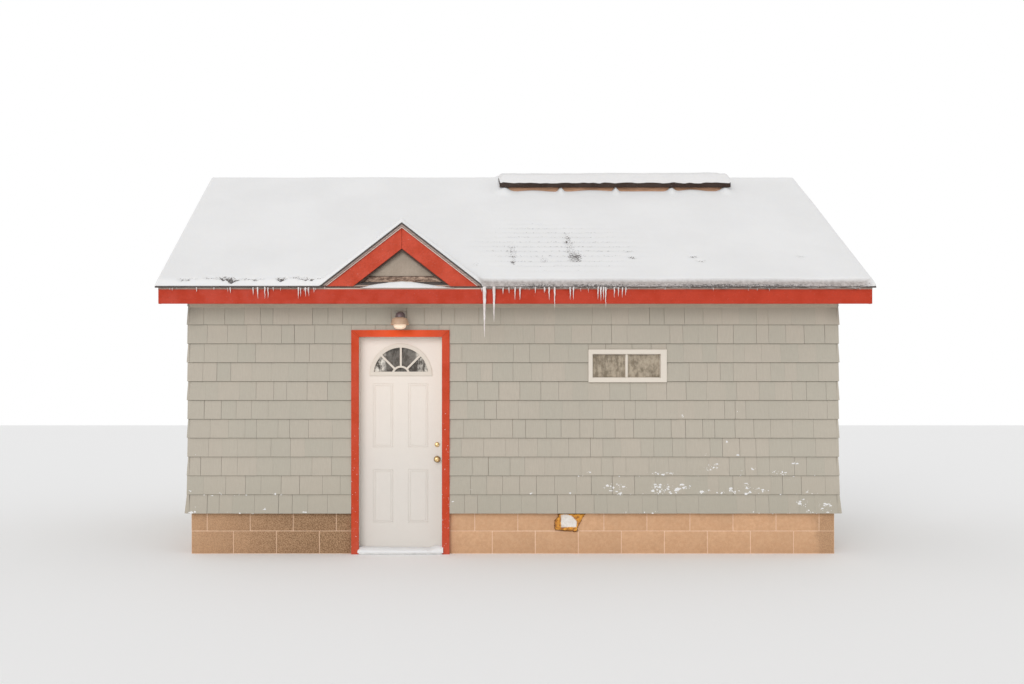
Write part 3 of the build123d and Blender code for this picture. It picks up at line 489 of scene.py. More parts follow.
@once
def clear_ice():
    """Icicle ice with a little cloud in it."""
    material, nodes, sockets = finish("clear_ice", Roughness=0.3, IOR=1.31, Transmission_Weight=0.12)
    cloud = nodes.noise(nodes.where(), 26.0, 3.0, 0.5)
    base = nodes.mix(nodes.ramp(cloud, 0.35, 0.65), (0.76, 0.68, 0.66), (0.88, 0.84, 0.83))
    nodes.feed(sockets["Base Color"], base)
    bump(nodes, sockets, cloud, 0.004, 0.5)
    return material


@once
def enamel(name, paint, roughness, lamp_lit=False):
    """Smooth paint or plastic with a faint ripple and dirt; lamp_lit paints the lamp's light on it: darker at
    the foot, paler up toward the lamp.
    """
    paint = tuple(paint)
    material, nodes, sockets = finish(name)
    where = nodes.where()
    weather = placed_group(nodes, "Weathering", Scale=3.4, Damp_From=-0.1, Damp_To=0.5)
    base = nodes.mix(nodes.times(weather["Stain"], 0.14), paint, toned(paint, 0.86))
    base = nodes.laid(base, weather["Damp"], 0.25, toned(paint, 0.8))
    # Painted light: darker low on the piece and paler high up, toward the lamp.
    if lamp_lit:
        height = nodes.parts(where)["Z"]
        low = nodes.mix(1.0, base, (0.925, 0.94, 0.955), "MULTIPLY")
        high = nodes.mix(1.0, base, (0.905, 0.925, 0.935), "DIVIDE")
        base = nodes.mix(nodes.ramp(height, 0.5, 1.85), low, high)
    nodes.feed(sockets["Base Color"], base)
    nodes.feed(sockets["Roughness"], nodes.ramp(weather["Stain"], 0.0, 1.0, roughness, roughness + 0.14))
    bump(nodes, sockets, nodes.noise(where, 40.0, 2.0, 0.5), 0.0006, 0.4)
    return material


@once
def metal(name, tone, roughness, metallic):
    """Bare or coated metal with fine rubbing marks and tarnish."""
    tone = tuple(tone)
    material, nodes, sockets = finish(name, Metallic=metallic)
    grain = placed_group(nodes, "Wood Grain", Stretch=(90.0, 90.0, 300.0))
    weather = placed_group(nodes, "Weathering", Scale=9.0)
    base = nodes.mix(nodes.times(weather["Stain"], 0.45), tone, toned(tone, 0.68))
    nodes.feed(sockets["Base Color"], base)
    nodes.feed(sockets["Roughness"], nodes.ramp(grain["Mask"], 0.0, 1.0, roughness, roughness + 0.12))
    bump(nodes, sockets, grain["Height"], 0.0004, 0.3)
    return material


@once
def glazing(name, dark, light, through, core=None):
    """Frosted glass with a painted reflection of trees in its colour, letting a share of the light through;
    the reflection is weaker close to core.
    """
    material, nodes, sockets = finish(name, Transmission_Weight=through, IOR=1.45)
    where = nodes.where()
    film = nodes.noise(where, 5.0, 3.0, 0.5)
    # Upright streaks and blots of the light colour over the dark: a painted reflection of trees against the
    # sky.
    tree_reflection = nodes.noise(nodes.vector("MULTIPLY", where, (34.0, 34.0, 9.0)), 1.0, 5.0, 0.7)
    blots = nodes.noise(where, 13.0, 5.0, 0.7)
    mask = nodes.ramp(nodes.plus(nodes.times(tree_reflection, 0.45), nodes.times(blots, 0.55)), 0.4, 0.6)
    # Near core the painted reflection is weaker, so the glass is darker there.
    if core is not None:
        x = nodes.parts(where)["X"]
        away = nodes.math("ABSOLUTE", nodes.minus(x, core))
        mask = nodes.times(mask, nodes.ramp(away, 0.13, 0.17, 0.2, 1.15))
    nodes.feed(sockets["Base Color"], nodes.mix(mask, tuple(dark), tuple(light)))
    nodes.feed(sockets["Roughness"], nodes.ramp(film, 0.3, 0.8, 0.08, 0.2))
    bump(nodes, sockets, film, 0.001, 0.15)
    return material


# Mesh helpers


def piece(name, shape, material, body="cabin", slot=None, replaced=(), smooth=None):
    """Links a mesh or bmesh as a piece that rides on a body and may stand for CAD nodes."""
    mesh = from_bmesh(name, shape) if isinstance(shape, bmesh.types.BMesh) else shape
    mesh.name = name
    thing = bpy.data.objects.new(name, mesh)
    bpy.context.scene.collection.objects.link(thing)
    if material is not None:
        mesh.materials.clear()
        mesh.materials.append(material)
    if smooth is not None:
        mesh.shade_smooth()
        mesh.set_sharp_from_angle(angle=math.radians(smooth))
    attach(thing, body)
    if replaced:
        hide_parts(*replaced)
    return thing


def mesh_of(name, corners, faces):
    """A mesh from lists of corners and faces."""
    mesh = bpy.data.meshes.new(name)
    mesh.from_pydata([tuple(c) for c in corners], [], faces)
    mesh.update()
    return mesh


def from_bmesh(name, bm, outward=True):
    """Turns a bmesh into a mesh, with its faces turned outwards if asked."""
    if outward:
        bmesh.ops.recalc_face_normals(bm, faces=bm.faces)
    mesh = bpy.data.meshes.new(name)
    bm.to_mesh(mesh)
    bm.free()
    return mesh


def add_box(bm, low, high):
    """Adds a closed box to a bmesh."""
    corners = [bm.verts.new(place) for place in itertools.product(*zip(low, high))]
    for ring in ((0, 1, 3, 2), (4, 6, 7, 5), (0, 4, 5, 1), (2, 3, 7, 6), (0, 2, 6, 4), (1, 5, 7, 3)):
        bm.faces.new([corners[i] for i in ring])


def add_prism(bm, outline, direction):
    """Adds a closed prism: an outline of points, and the vector that it is pushed along."""
    near = [bm.verts.new(p) for p in outline]
    far = [bm.verts.new(Vector(p) + Vector(direction)) for p in outline]
    bm.faces.new(near)
    bm.faces.new(list(reversed(far)))
    for i in range(len(near)):
        j = (i + 1) % len(near)
        bm.faces.new([near[j], near[i], far[i], far[j]])


def bevelled(mesh, width, segments=2, angle=30.0):
    """The mesh with its hard edges rounded by the Bevel modifier."""
    thing = bpy.data.objects.new("bevelling", mesh)
    bpy.context.scene.collection.objects.link(thing)
    modifier = thing.modifiers.new("Bevel", "BEVEL")
    modifier.width = width
    modifier.segments = segments
    modifier.limit_method = "ANGLE"
    modifier.angle_limit = math.radians(angle)
    return baked(thing)


def baked(thing):
    """The evaluated mesh of an object, which is removed."""
    bpy.context.view_layer.update()
    depsgraph = bpy.context.evaluated_depsgraph_get()
    mesh = bpy.data.meshes.new_from_object(thing.evaluated_get(depsgraph), depsgraph=depsgraph)
    thing.modifiers.clear()
    bpy.data.objects.remove(thing)
    return mesh


def rounded_copy(node, width, segments, material, body="cabin"):
    """A copy of a CAD node with its edges rounded, which stands for the node."""
    bm = bmesh.new()
    bm.from_mesh(frame["nodes"][node].data)
    bmesh.ops.remove_doubles(bm, verts=bm.verts, dist=0.0001)
    bmesh.ops.dissolve_limit(bm, angle_limit=math.radians(1.5), verts=bm.verts, edges=bm.edges)
    mesh = bevelled(from_bmesh(node + "_edges", bm, outward=False), width, segments)
    thing = piece(node + "_finished", mesh, material, body, slot_of(node), (node,), smooth=35)
    for face in mesh.polygons:
        face.use_smooth = face.area < 0.002
    return thing


def slot_of(node):
    """The record's material slot of a CAD node."""
    return next(s["material_slot"] for s in frame["record"]["subparts"] if s["node"] == node)


def noise_field(shape, cells, seed):
    """A smooth random field from -1 to 1 on a grid, with a number of cells each way."""
    random = np.random.default_rng(seed)
    rows, columns = shape
    lattice = random.uniform(-1, 1, (cells[0] + 3, cells[1] + 3))
    field = lattice
    for axis, (count, number) in enumerate(((rows, cells[0]), (columns, cells[1]))):
        place = np.linspace(0, number, count) + 1
        whole = np.clip(place.astype(int), 1, number)
        part = place - whole
        part = part * part * (3 - 2 * part)
        take = lambda offset: np.take(field, whole + offset, axis=axis)
        share = part[:, None] if axis == 0 else part[None, :]
        field = take(0) * (1 - share) + take(1) * share
    return field


def smooth_step(low, high, value):
    """0 below low, 1 above high, with soft ends."""
    part = np.clip((np.asarray(value, float) - low) / (high - low), 0, 1)
    return part * part * (3 - 2 * part)


# Geometry Nodes


def geometry_tree(name, sizes, seeded=False):
    """An empty Geometry Nodes tree with named inputs for its sizes, and its node helper and ends."""
    tree = bpy.data.node_groups.new(name, "GeometryNodeTree")
    new = tree.interface.new_socket
    new("Geometry", in_out="INPUT", socket_type="NodeSocketGeometry")
    for label, value in sizes.items():
        new(label, in_out="INPUT", socket_type="NodeSocketFloat").default_value = value
    if seeded:
        new("Seed", in_out="INPUT", socket_type="NodeSocketInt").default_value = 1
    new("Material", in_out="INPUT", socket_type="NodeSocketMaterial")
    new("Geometry", in_out="OUTPUT", socket_type="NodeSocketGeometry")
    nodes = Nodes(tree)
    return nodes, nodes.add("NodeGroupInput").outputs, nodes.add("NodeGroupOutput").inputs


def named(nodes, name, kind="FLOAT"):
    """An attribute of the points that a tree works on."""
    return nodes.add("GeometryNodeInputNamedAttribute", {"Name": name}, data_type=kind).outputs["Attribute"]


def stored(nodes, geometry, name, value, domain="POINT"):
    """The geometry with a number kept on it under a name."""
    inputs = {"Geometry": geometry, "Name": name, "Value": value}
    node = nodes.add("GeometryNodeStoreNamedAttribute", inputs, data_type="FLOAT", domain=domain)
    return node.outputs["Geometry"]


def copies(nodes, points, shape, **inputs):
    """A copy of a shape on each point."""
    inputs.update(Points=points, Instance=shape)
    return nodes.add("GeometryNodeInstanceOnPoints", inputs).outputs["Instances"]


def real(nodes, instances):
    """The copies as plain geometry."""
    return nodes.add("GeometryNodeRealizeInstances", {"Geometry": instances}).outputs["Geometry"]


def moved(nodes, geometry, **inputs):
    """The geometry with its points shifted by an Offset or put at a Position."""
    return nodes.add("GeometryNodeSetPosition", {"Geometry": geometry, **inputs}).outputs["Geometry"]


def ended(nodes, given, out, geometry):
    """Sets the material on a tree's geometry and puts it out."""
    inputs = {"Geometry": geometry, "Material": given["Material"]}
    nodes.feed(out["Geometry"], nodes.add("GeometryNodeSetMaterial", inputs).outputs["Geometry"])
    return nodes.tree


@once
def lapped_courses_tree():
    """Runs of pieces side by side, laid from a point for each run with its length and rise."""
    sizes = {"Gap": 0.002, "Closeness": 0.0, "Evenness": 0.3}
    sizes.update({"Top Thickness": 0.45, "Drift": 0.002, "Sway": 0.001})
    nodes, given, out = geometry_tree("Lapped Courses", sizes, seeded=True)

    def random(low, high, seed_shift):
        inputs = {2: low, 3: high, "Seed": nodes.plus(given["Seed"], float(seed_shift))}
        return nodes.add("FunctionNodeRandomValue", inputs, data_type="FLOAT").outputs[1]

    def either_way(reach, seed_shift):
        return random(nodes.times(reach, -1.0), reach, seed_shift)

    # Each run's point becomes a point for each piece, and the pieces share out the run's length
    inputs = {"Geometry": given["Geometry"], "Amount": named(nodes, "pieces", "INT")}
    points = nodes.add("GeometryNodeDuplicateElements", inputs, domain="POINT").outputs["Geometry"]
    points = stored(nodes, points, "share", random(given["Evenness"], 1.0, 0))
    inputs = {"Value": named(nodes, "share"), "Group ID": named(nodes, "run", "INT")}
    added = nodes.add("GeometryNodeAccumulateField", inputs, data_type="FLOAT", domain="POINT").outputs
    unit = nodes.math("DIVIDE", named(nodes, "reach"), added["Total"])
    width = nodes.times(named(nodes, "share"), unit)
    middle = nodes.plus(nodes.times(added["Trailing"], unit), nodes.times(width, 0.5))
    along, up = named(nodes, "along", "FLOAT_VECTOR"), named(nodes, "up", "FLOAT_VECTOR")
    lift = nodes.scaled(up, either_way(given["Drift"], 1))
    points = moved(nodes, points, Offset=nodes.vector("ADD", nodes.scaled(along, middle), lift))
    points = stored(nodes, points, "wide", width)

    # A unit wedge, thinner at its top, whose back lies on the wall
    corner = nodes.parts(nodes.add("GeometryNodeInputPosition").outputs[0])
    height = nodes.plus(corner["Z"], 0.5)
    taper = nodes.add("ShaderNodeMix", {0: height, 2: 1.0, 3: given["Top Thickness"]}, data_type="FLOAT")
    depth = nodes.times(nodes.minus(corner["Y"], 0.5), taper.outputs[0])
    place = nodes.add("ShaderNodeCombineXYZ", {0: corner["X"], 1: depth, 2: height}).outputs[0]
    wedge = moved(nodes, nodes.add("GeometryNodeMeshCube").outputs["Mesh"], Position=place)

    axes = {"Primary Axis": up, "Secondary Axis": along}
    turn = nodes.add("FunctionNodeAxesToRotation", axes, primary_axis="Z", secondary_axis="X").outputs[0]
    gap = nodes.times(given["Gap"], nodes.math("POWER", random(0.0, 1.0, 4), given["Closeness"]))
    thick = nodes.plus(named(nodes, "butt"), either_way(given["Sway"], 2))
    inputs = {0: nodes.minus(named(nodes, "wide"), gap), 1: thick, 2: named(nodes, "rise")}
    size = nodes.add("ShaderNodeCombineXYZ", inputs).outputs[0]
    pieces = copies(nodes, points, wedge, Rotation=turn, Scale=size)
    pieces = stored(nodes, pieces, "tint", random(0.0, 1.0, 3), domain="INSTANCE")
    return ended(nodes, given, out, real(nodes, pieces))


def roughened_copies(nodes, given, out, shape, word, detail, stretch=(1.0, 1.0, 1.0), ways=(1.0, 1.0, 1.0)):
    """Ends a tree with copies of a shape on its points, each of its point's size, pushed about by noise."""
    laid = copies(nodes, given["Geometry"], shape, Scale=named(nodes, "size", "FLOAT_VECTOR"))
    place = nodes.vector("MULTIPLY", nodes.add("GeometryNodeInputPosition").outputs[0], stretch)
    inputs = {"Vector": place, "Detail": detail, "Scale": given[word + " Scale"]}
    noise = nodes.add("ShaderNodeTexNoise", inputs).outputs["Color"]
    swing = nodes.vector("MULTIPLY", nodes.vector("SUBTRACT", noise, (0.5, 0.5, 0.5)), ways)
    return ended(nodes, given, out, moved(nodes, real(nodes, laid), Offset=nodes.scaled(swing, given[word])))


@once
def hanging_ice_tree():
    """Icicles: tapered spikes that hang from points, with ripples down their length."""
    nodes, given, out = geometry_tree("Hanging Ice", {"Ripple": 0.004, "Ripple Scale": 30.0, "Tip": 0.06})
    inputs = {"Vertices": 12, "Side Segments": 22, "Fill Segments": 1, "Radius Top": 1.0, "Depth": 1.0}
    spike = nodes.add("GeometryNodeMeshCone", {**inputs, "Radius Bottom": given["Tip"]}).outputs["Mesh"]
    inputs = {"Geometry": spike, "Translation": (0.0, 0.0, -1.0)}
    hung = nodes.add("GeometryNodeTransform", inputs).outputs["Geometry"]
    return roughened_copies(nodes, given, out, hung, "Ripple", 1.0, (1.0, 1.0, 1.6), (1.0, 1.0, 0.0))


@once
def snow_clumps_tree():
    """Clumps of snow: lumpy flattened balls on points."""
    nodes, given, out = geometry_tree("Snow Clumps", {"Lump": 0.008, "Lump Scale": 45.0})
    ball = nodes.add("GeometryNodeMeshIcoSphere", {"Radius": 1.0, "Subdivisions": 3}).outputs["Mesh"]
    return roughened_copies(nodes, given, out, ball, "Lump", 3.0)


def grown(name, mesh, tree, **values):
    """Runs a Geometry Nodes tree on a mesh with named inputs, and returns the plain mesh it makes."""
    thing = bpy.data.objects.new(name, mesh)
    bpy.context.scene.collection.objects.link(thing)
    modifier = thing.modifiers.new(tree.name, "NODES")
    modifier.node_group = tree
    sockets = {item.name: item.identifier for item in tree.interface.items_tree if item.in_out == "INPUT"}
    for key, value in values.items():
        modifier[sockets[key.replace("_", " ")]] = value
    return baked(thing)


COURSE_FIELDS = (
    ("along", "FLOAT_VECTOR"),
    ("up", "FLOAT_VECTOR"),
    ("reach", "FLOAT"),
    ("rise", "FLOAT"),
    ("butt", "FLOAT"),
    ("pieces", "INT"),
    ("run", "INT"),
)


def laid_courses(name, runs, **values):
    """The pieces of some runs, laid from one point for each run with its sizes as attributes."""
    mesh = bpy.data.meshes.new(name)
    mesh.from_pydata([tuple(run["start"]) for run in runs], [], [])
    for number, run in enumerate(runs):
        run["run"] = number
    for key, kind in COURSE_FIELDS:
        layer = mesh.attributes.new(key, kind, "POINT")
        column = np.array([run[key] for run in runs], dtype=float).ravel()
        if kind == "INT":
            column = column.astype(np.int32)
        layer.data.foreach_set("vector" if kind == "FLOAT_VECTOR" else "value", column)
    return grown(name, mesh, lapped_courses_tree(), **values)


def clipped(mesh, planes):
    """The mesh cut by planes of (point, outward normal), with each cut closed."""
    bm = bmesh.new()
    bm.from_mesh(mesh)
    for point, normal in planes:
        geometry = bm.verts[:] + bm.edges[:] + bm.faces[:]
        cut = bmesh.ops.bisect_plane(bm, geom=geometry, plane_co=point, plane_no=normal, clear_outer=True)
        edges = [e for e in cut["geom_cut"] if isinstance(e, bmesh.types.BMEdge)]
        bmesh.ops.holes_fill(bm, edges=edges, sides=0)
    bmesh.ops.delete(bm, geom=[v for v in bm.verts if not v.link_faces], context="VERTS")
    bm.to_mesh(mesh)
    bm.free()
    return mesh


# Cladding


FLARE = (0.044, 0.033)  # butt thickness of the two lowest courses
BUTT = 0.027  # butt thickness of every other course
HEAD = 0.014  # a shingle's thickness where the next course's butt covers it
CORNER_LAP = 0.75  # how far every other course runs past a corner, as a share of its butt
CORNER_GAP = 0.001  # how far the courses between stay short of it
SLIVER = 0.004  # a strip of a course lower than this is left out
NARROWEST_SPAN = 0.02

rake_soffit_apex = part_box("cladding_ends")[1].z
frieze_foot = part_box("friezes")[0].z


def wall_courses(top):
    """Foot and butt thickness of each shingle course, from the plinth up."""
    settings = bpy.context.scene.cabin_cladding
    foot = cladding_low.z
    number = 0
    while foot < top - 0.01:
        yield foot, FLARE[number] if number < len(FLARE) else BUTT, number
        foot += settings.exposure
        number += 1


def course_run(foot, butt, start, along, reach, rise=None):
    """One run of shingles, with a number of pieces that suits its reach."""
    settings = bpy.context.scene.cabin_cladding
    rise = settings.exposure if rise is None else rise
    return {
        "start": Vector(start) + Vector((0, 0, foot)),
        "along": tuple(along),
        "up": (0, 0, 1),
        "reach": reach,
        "rise": rise + settings.lap,
        "butt": butt,
        "pieces": max(1, round(reach / settings.width)),
    }


def long_side_runs(side, openings):
    """Shingle runs of the front (side -1) or the back wall, round its openings."""
    settings = bpy.context.scene.cabin_cladding
    along = (-side, 0, 0)
    runs = []
    for foot, butt, number in wall_courses(frieze_foot):
        reach = wall_high.x + (CORNER_LAP * butt if number % 2 else -CORNER_GAP)
        head = min(foot + settings.exposure, frieze_foot)
        spans = [(-reach, reach, foot, head)]
        for x0, x1, z0, z1 in openings:
            split = []
            for a, b, low, high in spans:
                if b <= x0 or a >= x1 or high <= z0 + SLIVER or low >= z1 - SLIVER:
                    split.append((a, b, low, high))
                    continue
                split += [(a, x0, low, high), (x1, b, low, high)]
                if low < z0 - SLIVER:
                    split.append((x0, x1, low, z0))
                if high > z1 + SLIVER:
                    split.append((x0, x1, z1, high))
            spans = [s for s in split if s[1] - s[0] > NARROWEST_SPAN]
        for a, b, low, high in spans:
            share = (low - foot) / settings.exposure
            thick = butt * (1 - share) + HEAD * share
            start = (a if side < 0 else b, side * wall_high.y, 0)
            runs.append(course_run(low, thick, start, along, b - a, high - low))
    return runs


def end_runs(side):
    """Shingle runs of the left (side -1) or the right gable wall."""
    runs = []
    for foot, butt, number in wall_courses(rake_soffit_apex):
        reach = wall_high.y + (-CORNER_GAP if number % 2 else CORNER_LAP * butt)
        reach = min(reach, (rake_soffit_apex - foot) / ROOF_SLOPE + 0.02)
        start = (side * wall_high.x, -side * reach, 0)
        runs.append(course_run(foot, butt, start, (0, side, 0), 2 * reach))
    return runs


class CABIN_OT_wall_shingles(bpy.types.Operator):
    """Lays the painted shingles of the four walls"""

    bl_idname = "cabin.wall_shingles"
    bl_label = "Wall Shingles"

    def execute(self, context):
        settings = context.scene.cabin_cladding
        openings = [
            (casing_low.x, casing_high.x, 0.0, casing_high.z),
            (window_low.x, window_high.x, window_low.z, window_high.z),
        ]
        front = long_side_runs(-1, openings)
        for name, runs, replaced in (
            ("front_shingles", front, ("cladding_long_sides", "cladding_over_door")),
            ("back_shingles", long_side_runs(1, []), ()),
            ("left_shingles", end_runs(-1), ()),
            ("right_shingles", end_runs(1), ("cladding_ends",)),
        ):
            mesh = laid_courses(
                name,
                runs,
                Gap=settings.gap,
                Closeness=1.3,
                Evenness=0.42,
                Top_Thickness=0.44,
                Drift=0.0007,
                Sway=0.0004,
                Seed=settings.seed + len(runs),
                Material=painted_shingle(),
            )
            if name in ("left_shingles", "right_shingles"):
                point = (0, 0, rake_soffit_apex + 0.004)
                clipped(mesh, [(point, (0, s * math.sin(ROOF_PITCH), math.cos(ROOF_PITCH))) for s in (-1, 1)])
            else:
                clipped(mesh, [((0, 0, frieze_foot), (0, 0, 1))])
            piece(name, mesh, None, slot="shingle", replaced=replaced)
        return {"FINISHED"}


# Plinth


END_BLOCKS = 9  # blocks in each course of an end
NARROWEST_BLOCK = 0.03
BLOCK_FACE = 0.012  # thickness of the face of a block
SET_BACK = 0.010  # how far the faces are let into the plinth


def block_runs():
    """Blocks of each course, as runs of one block, with the joints where the photograph has them."""
    settings = bpy.context.scene.cabin_plinth
    step = settings.block_length
    frame_low, frame_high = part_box("door_frame")
    # Foot and head of each course, and where a joint falls right and left of the door
    courses = (
        (plinth_high.z - settings.course, plinth_high.z, -0.362, -2.901),
        (0.0, plinth_high.z - settings.course, -0.1965, -2.652),
    )
    ends = plinth_high.x
    deep = plinth_high.y
    runs = []
    for low, high, right_joint, left_joint in courses:
        for side in (-1, 1):
            for a, b, joint in (
                ((-ends, frame_low.x, left_joint), (frame_high.x, ends, right_joint))
                if side < 0
                else ((-ends, ends, right_joint),)
            ):
                first = joint - math.floor((joint - a) / step) * step
                cuts = [first + step * k for k in range(40)]
                cuts = [a] + [cut for cut in cuts if cut < b - NARROWEST_BLOCK] + [b]
                cuts = [c for i, c in enumerate(cuts) if i == 0 or c - cuts[i - 1] > NARROWEST_BLOCK]
                for x0, x1 in zip(cuts, cuts[1:]):
                    start = (x0 if side < 0 else x1, side * deep, low)
                    runs.append({"start": start, "along": (-side, 0, 0), "reach": x1 - x0, "rise": high - low})
        for side in (-1, 1):
            cuts = [-deep + 2 * deep * k / END_BLOCKS for k in range(END_BLOCKS + 1)]
            for y0, y1 in zip(cuts, cuts[1:]):
                start = (side * ends, y0 if side > 0 else y1, low)
                runs.append({"start": start, "along": (0, side, 0), "reach": y1 - y0, "rise": high - low})
    for run in runs:
        run.update(up=(0, 0, 1), rise=run["rise"] - settings.joint, butt=BLOCK_FACE, pieces=1)
        inward = -Vector(run["along"]).cross(Vector((0, 0, 1)))
        run["start"] = Vector(run["start"]) + Vector((0, 0, settings.joint / 2)) + inward * SET_BACK
    return runs


class CABIN_OT_plinth(bpy.types.Operator):
    """Lays the plinth's blocks and gives the mortar between them its finish"""

    bl_idname = "cabin.plinth"
    bl_label = "Plinth"

    def execute(self, context):
        settings = context.scene.cabin_plinth
        paint = painted_block("painted_block", settings.paint, 0.5, 1.0)
        blocks = laid_courses(
            "plinth_blocks",
            block_runs(),
            Gap=settings.joint,
            Evenness=1.0,
            Top_Thickness=1.0,
            Drift=0.0008,
            Sway=0.0006,
            Seed=3,
            Material=paint,
        )
        piece("plinth_blocks", bevelled(blocks, 0.002), paint, slot="block", smooth=50)
        mortar = painted_block("painted_mortar", settings.mortar, 0.35, 0.25)
        for name in ("plinth_long_sides", "plinth_ends"):
            finished_node(name, mortar)
        return {"FINISHED"}


# Roof


GABLE_SLOPE = math.tan(math.radians(37.8))
GABLE_REACH = 0.7145
UNDER_GABLE = 0.055  # how far back the first course starts under the false gable
gable_low, gable_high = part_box("gable_shingles")
gable_x = (gable_low.x + gable_high.x) / 2


def slope_point(x, along, side):
    """A point on the deck of the front (side -1) or back slope, along it from the eave."""
    y = eave_y + along * math.cos(ROOF_PITCH)
    z = deck_apex + ROOF_SLOPE * eave_y + along * math.sin(ROOF_PITCH)
    return Vector((x, -side * y, z))


class CABIN_OT_roof_tabs(bpy.types.Operator):
    """Lays the roof's tabbed mineral shingles on both slopes"""

    bl_idname = "cabin.roof_tabs"
    bl_label = "Roof Tabs"

    def execute(self, context):
        settings = context.scene.cabin_roof
        reach = roof_high.x
        for side, name, replaced in (
            (-1, "front_tabs", "roof_shingles_front"),
            (1, "back_tabs", "roof_shingles_back"),
        ):
            runs = []
            for number in range(math.ceil(slope_length / settings.exposure)):
                offset = settings.tab * (0.5 if number % 2 else 0.12)
                pieces = math.ceil((2 * reach + offset) / settings.tab)
                along = Vector((-side, 0, 0))
                start = slope_point(side * (reach + offset), number * settings.exposure, side)
                rise = min(2 * settings.exposure, slope_length - number * settings.exposure)
                spans = [(0.0, pieces * settings.tab, 0.0)]
                if side < 0 and number == 0:
                    left = gable_x - GABLE_REACH - start.x
                    right = left + 2 * GABLE_REACH
                    spans = [(0.0, left, 0.0), (left, right, UNDER_GABLE), (right, spans[0][1], 0.0)]
                for first, last, back in spans:
                    runs.append(
                        {
                            "start": start + first * along + back * ROOF_UP,
                            "along": along,
                            "up": (0, -side * ROOF_UP.y, ROOF_UP.z),
                            "reach": last - first,
                            "rise": rise - back,
                            "butt": SHINGLE_BUTT,
                            "pieces": max(1, round((last - first) / settings.tab)),
                        }
                    )
            mesh = laid_courses(
                name,
                runs,
                Gap=0.006,
                Evenness=1.0,
                Top_Thickness=0.25,
                Drift=0.001,
                Sway=0.0008,
                Seed=21 + side,
                Material=mineral_shingle(),
            )
            clipped(mesh, [((s * reach, 0, 0), (s, 0, 0)) for s in (-1, 1)] + [((0, 0, 0), (0, -side, 0))])
            piece(name, mesh, None, slot="roof_covering", replaced=(replaced,))
        for node in ("ridge_caps", "gable_shingles"):
            rounded_copy(node, 0.002, 1, mineral_shingle())
        return {"FINISHED"}


# Snow


LID_EDGE = 0.052  # height of the lid's edge
lid_low, lid_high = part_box("vent_lid")
curb_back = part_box("vent_curb")[1].y


def main_top(y):
    """Height of the main roof's covering."""
    return roof_apex - ROOF_SLOPE * np.abs(y)


def gable_top(x):
    """Height of the false gable's covering."""
    return gable_high.z - GABLE_SLOPE * np.abs(x - gable_x)


def blanket(name, top, under, **fields):
    """A closed sheet between a grid of top points and a grid under them, with fields as attributes."""
    rows, columns = top.shape[:2]
    corners = np.concatenate([top.reshape(-1, 3), under.reshape(-1, 3)])
    count = rows * columns
    index = np.arange(count).reshape(rows, columns)
    quads = np.stack([index[:-1, :-1], index[:-1, 1:], index[1:, 1:], index[1:, :-1]], axis=-1).reshape(-1, 4)
    faces = quads.tolist() + (quads[:, ::-1] + count).tolist()
    edge = list(index[0, :]) + list(index[1:, -1]) + list(index[-1, -2::-1]) + list(index[-2:0:-1, 0])
    for a, b in zip(edge, edge[1:] + edge[:1]):
        faces.append([int(b), int(a), int(a) + count, int(b) + count])
    mesh = mesh_of(name, corners, faces)
    for key, field in fields.items():
        layer = mesh.attributes.new(key, "FLOAT", "POINT")
        layer.data.foreach_set("value", np.concatenate([field.ravel(), field.ravel()]).astype(np.float32))
    bm = bmesh.new()
    bm.from_mesh(mesh)
    return from_bmesh(name, bm)


def snow_piece(name, x, y, top, under, **fields):
    """A blanket of snow between two heights over a grid of places."""
    top, under = (np.stack([x, y, height], axis=-1) for height in (top, under))
    piece(name, blanket(name, top, under, **fields), settled_snow(), smooth=60)


def bare(x, s, spots):
    """How bare each place is, from 0 to 1, for soft oval spots: x, s, half sizes and strength."""
    total = np.zeros_like(x)
    for spot_x, spot_s, half_x, half_s, strength in spots:
        distance = np.sqrt(((x - spot_x) / half_x) ** 2 + ((s - spot_s) / half_s) ** 2)
        total = np.maximum(total, strength * (1 - smooth_step(0.5, 1.2, distance)))
    return total


def spaced(low, high, step, fine=(0.0, 0.004, 0.010, 0.018, 0.029)):
    """Places from low to high, closer together at both ends."""
    inner = np.arange(low + 0.045, high - 0.045, step)
    return np.concatenate([low + np.array(fine), inner, high - np.array(fine)[::-1]])


# Tongues of snow that reach up under the vent: x, width and share
NECKS = (
    (0.0, 0.06, 1.0),
    (0.3, 0.12, 0.25),
    (0.62, 0.026, 0.95),
    (0.95, 0.15, 0.2),
    (1.22, 0.022, 1.0),
    (1.83, 0.036, 0.85),
    (2.05, 0.1, 0.3),
    (2.42, 0.05, 0.9),
)
# Spots of the front slope that are bare, and spots where its snow is thin: x, s, half sizes, strength
FRONT_BARE = (
    (-3.0, 0.055, 0.1, 0.014, 0.5),
    (-2.82, 0.072, 0.06, 0.02, 0.9),
    (-2.67, 0.065, 0.09, 0.03, 1.0),
    (-2.58, 0.045, 0.05, 0.02, 1.0),
    (-2.4, 0.055, 0.14, 0.014, 0.6),
    (-2.15, 0.06, 0.05, 0.03, 1.0),
    (-2.03, 0.075, 0.05, 0.02, 0.8),
    (-1.93, 0.06, 0.05, 0.025, 0.95),
    (-1.83, 0.05, 0.06, 0.02, 1.0),
)
FRONT_THIN = (
    (0.006, 0.62, 0.05, 0.28, 0.9),
    (0.0, 0.4, 0.035, 0.07, 1.25),
    (0.57, 0.78, 0.06, 0.42, 0.95),
    (0.6, 0.53, 0.085, 0.16, 1.15),
    (0.3, 0.47, 0.05, 0.07, 0.85),
    (1.15, 0.52, 0.05, 0.04, 1.15),
    (1.12, 0.64, 0.05, 0.04, 0.75),
    (-0.35, 0.38, 0.05, 0.06, 0.8),
    (1.74, 0.53, 0.05, 0.04, 0.95),
    (1.78, 0.43, 0.05, 0.04, 0.8),
    (2.76, 0.56, 0.05, 0.1, 0.6),
    (0.45, 0.72, 0.95, 0.66, 0.42),
    (0.25, 0.9, 0.5, 0.6, 0.42),
)


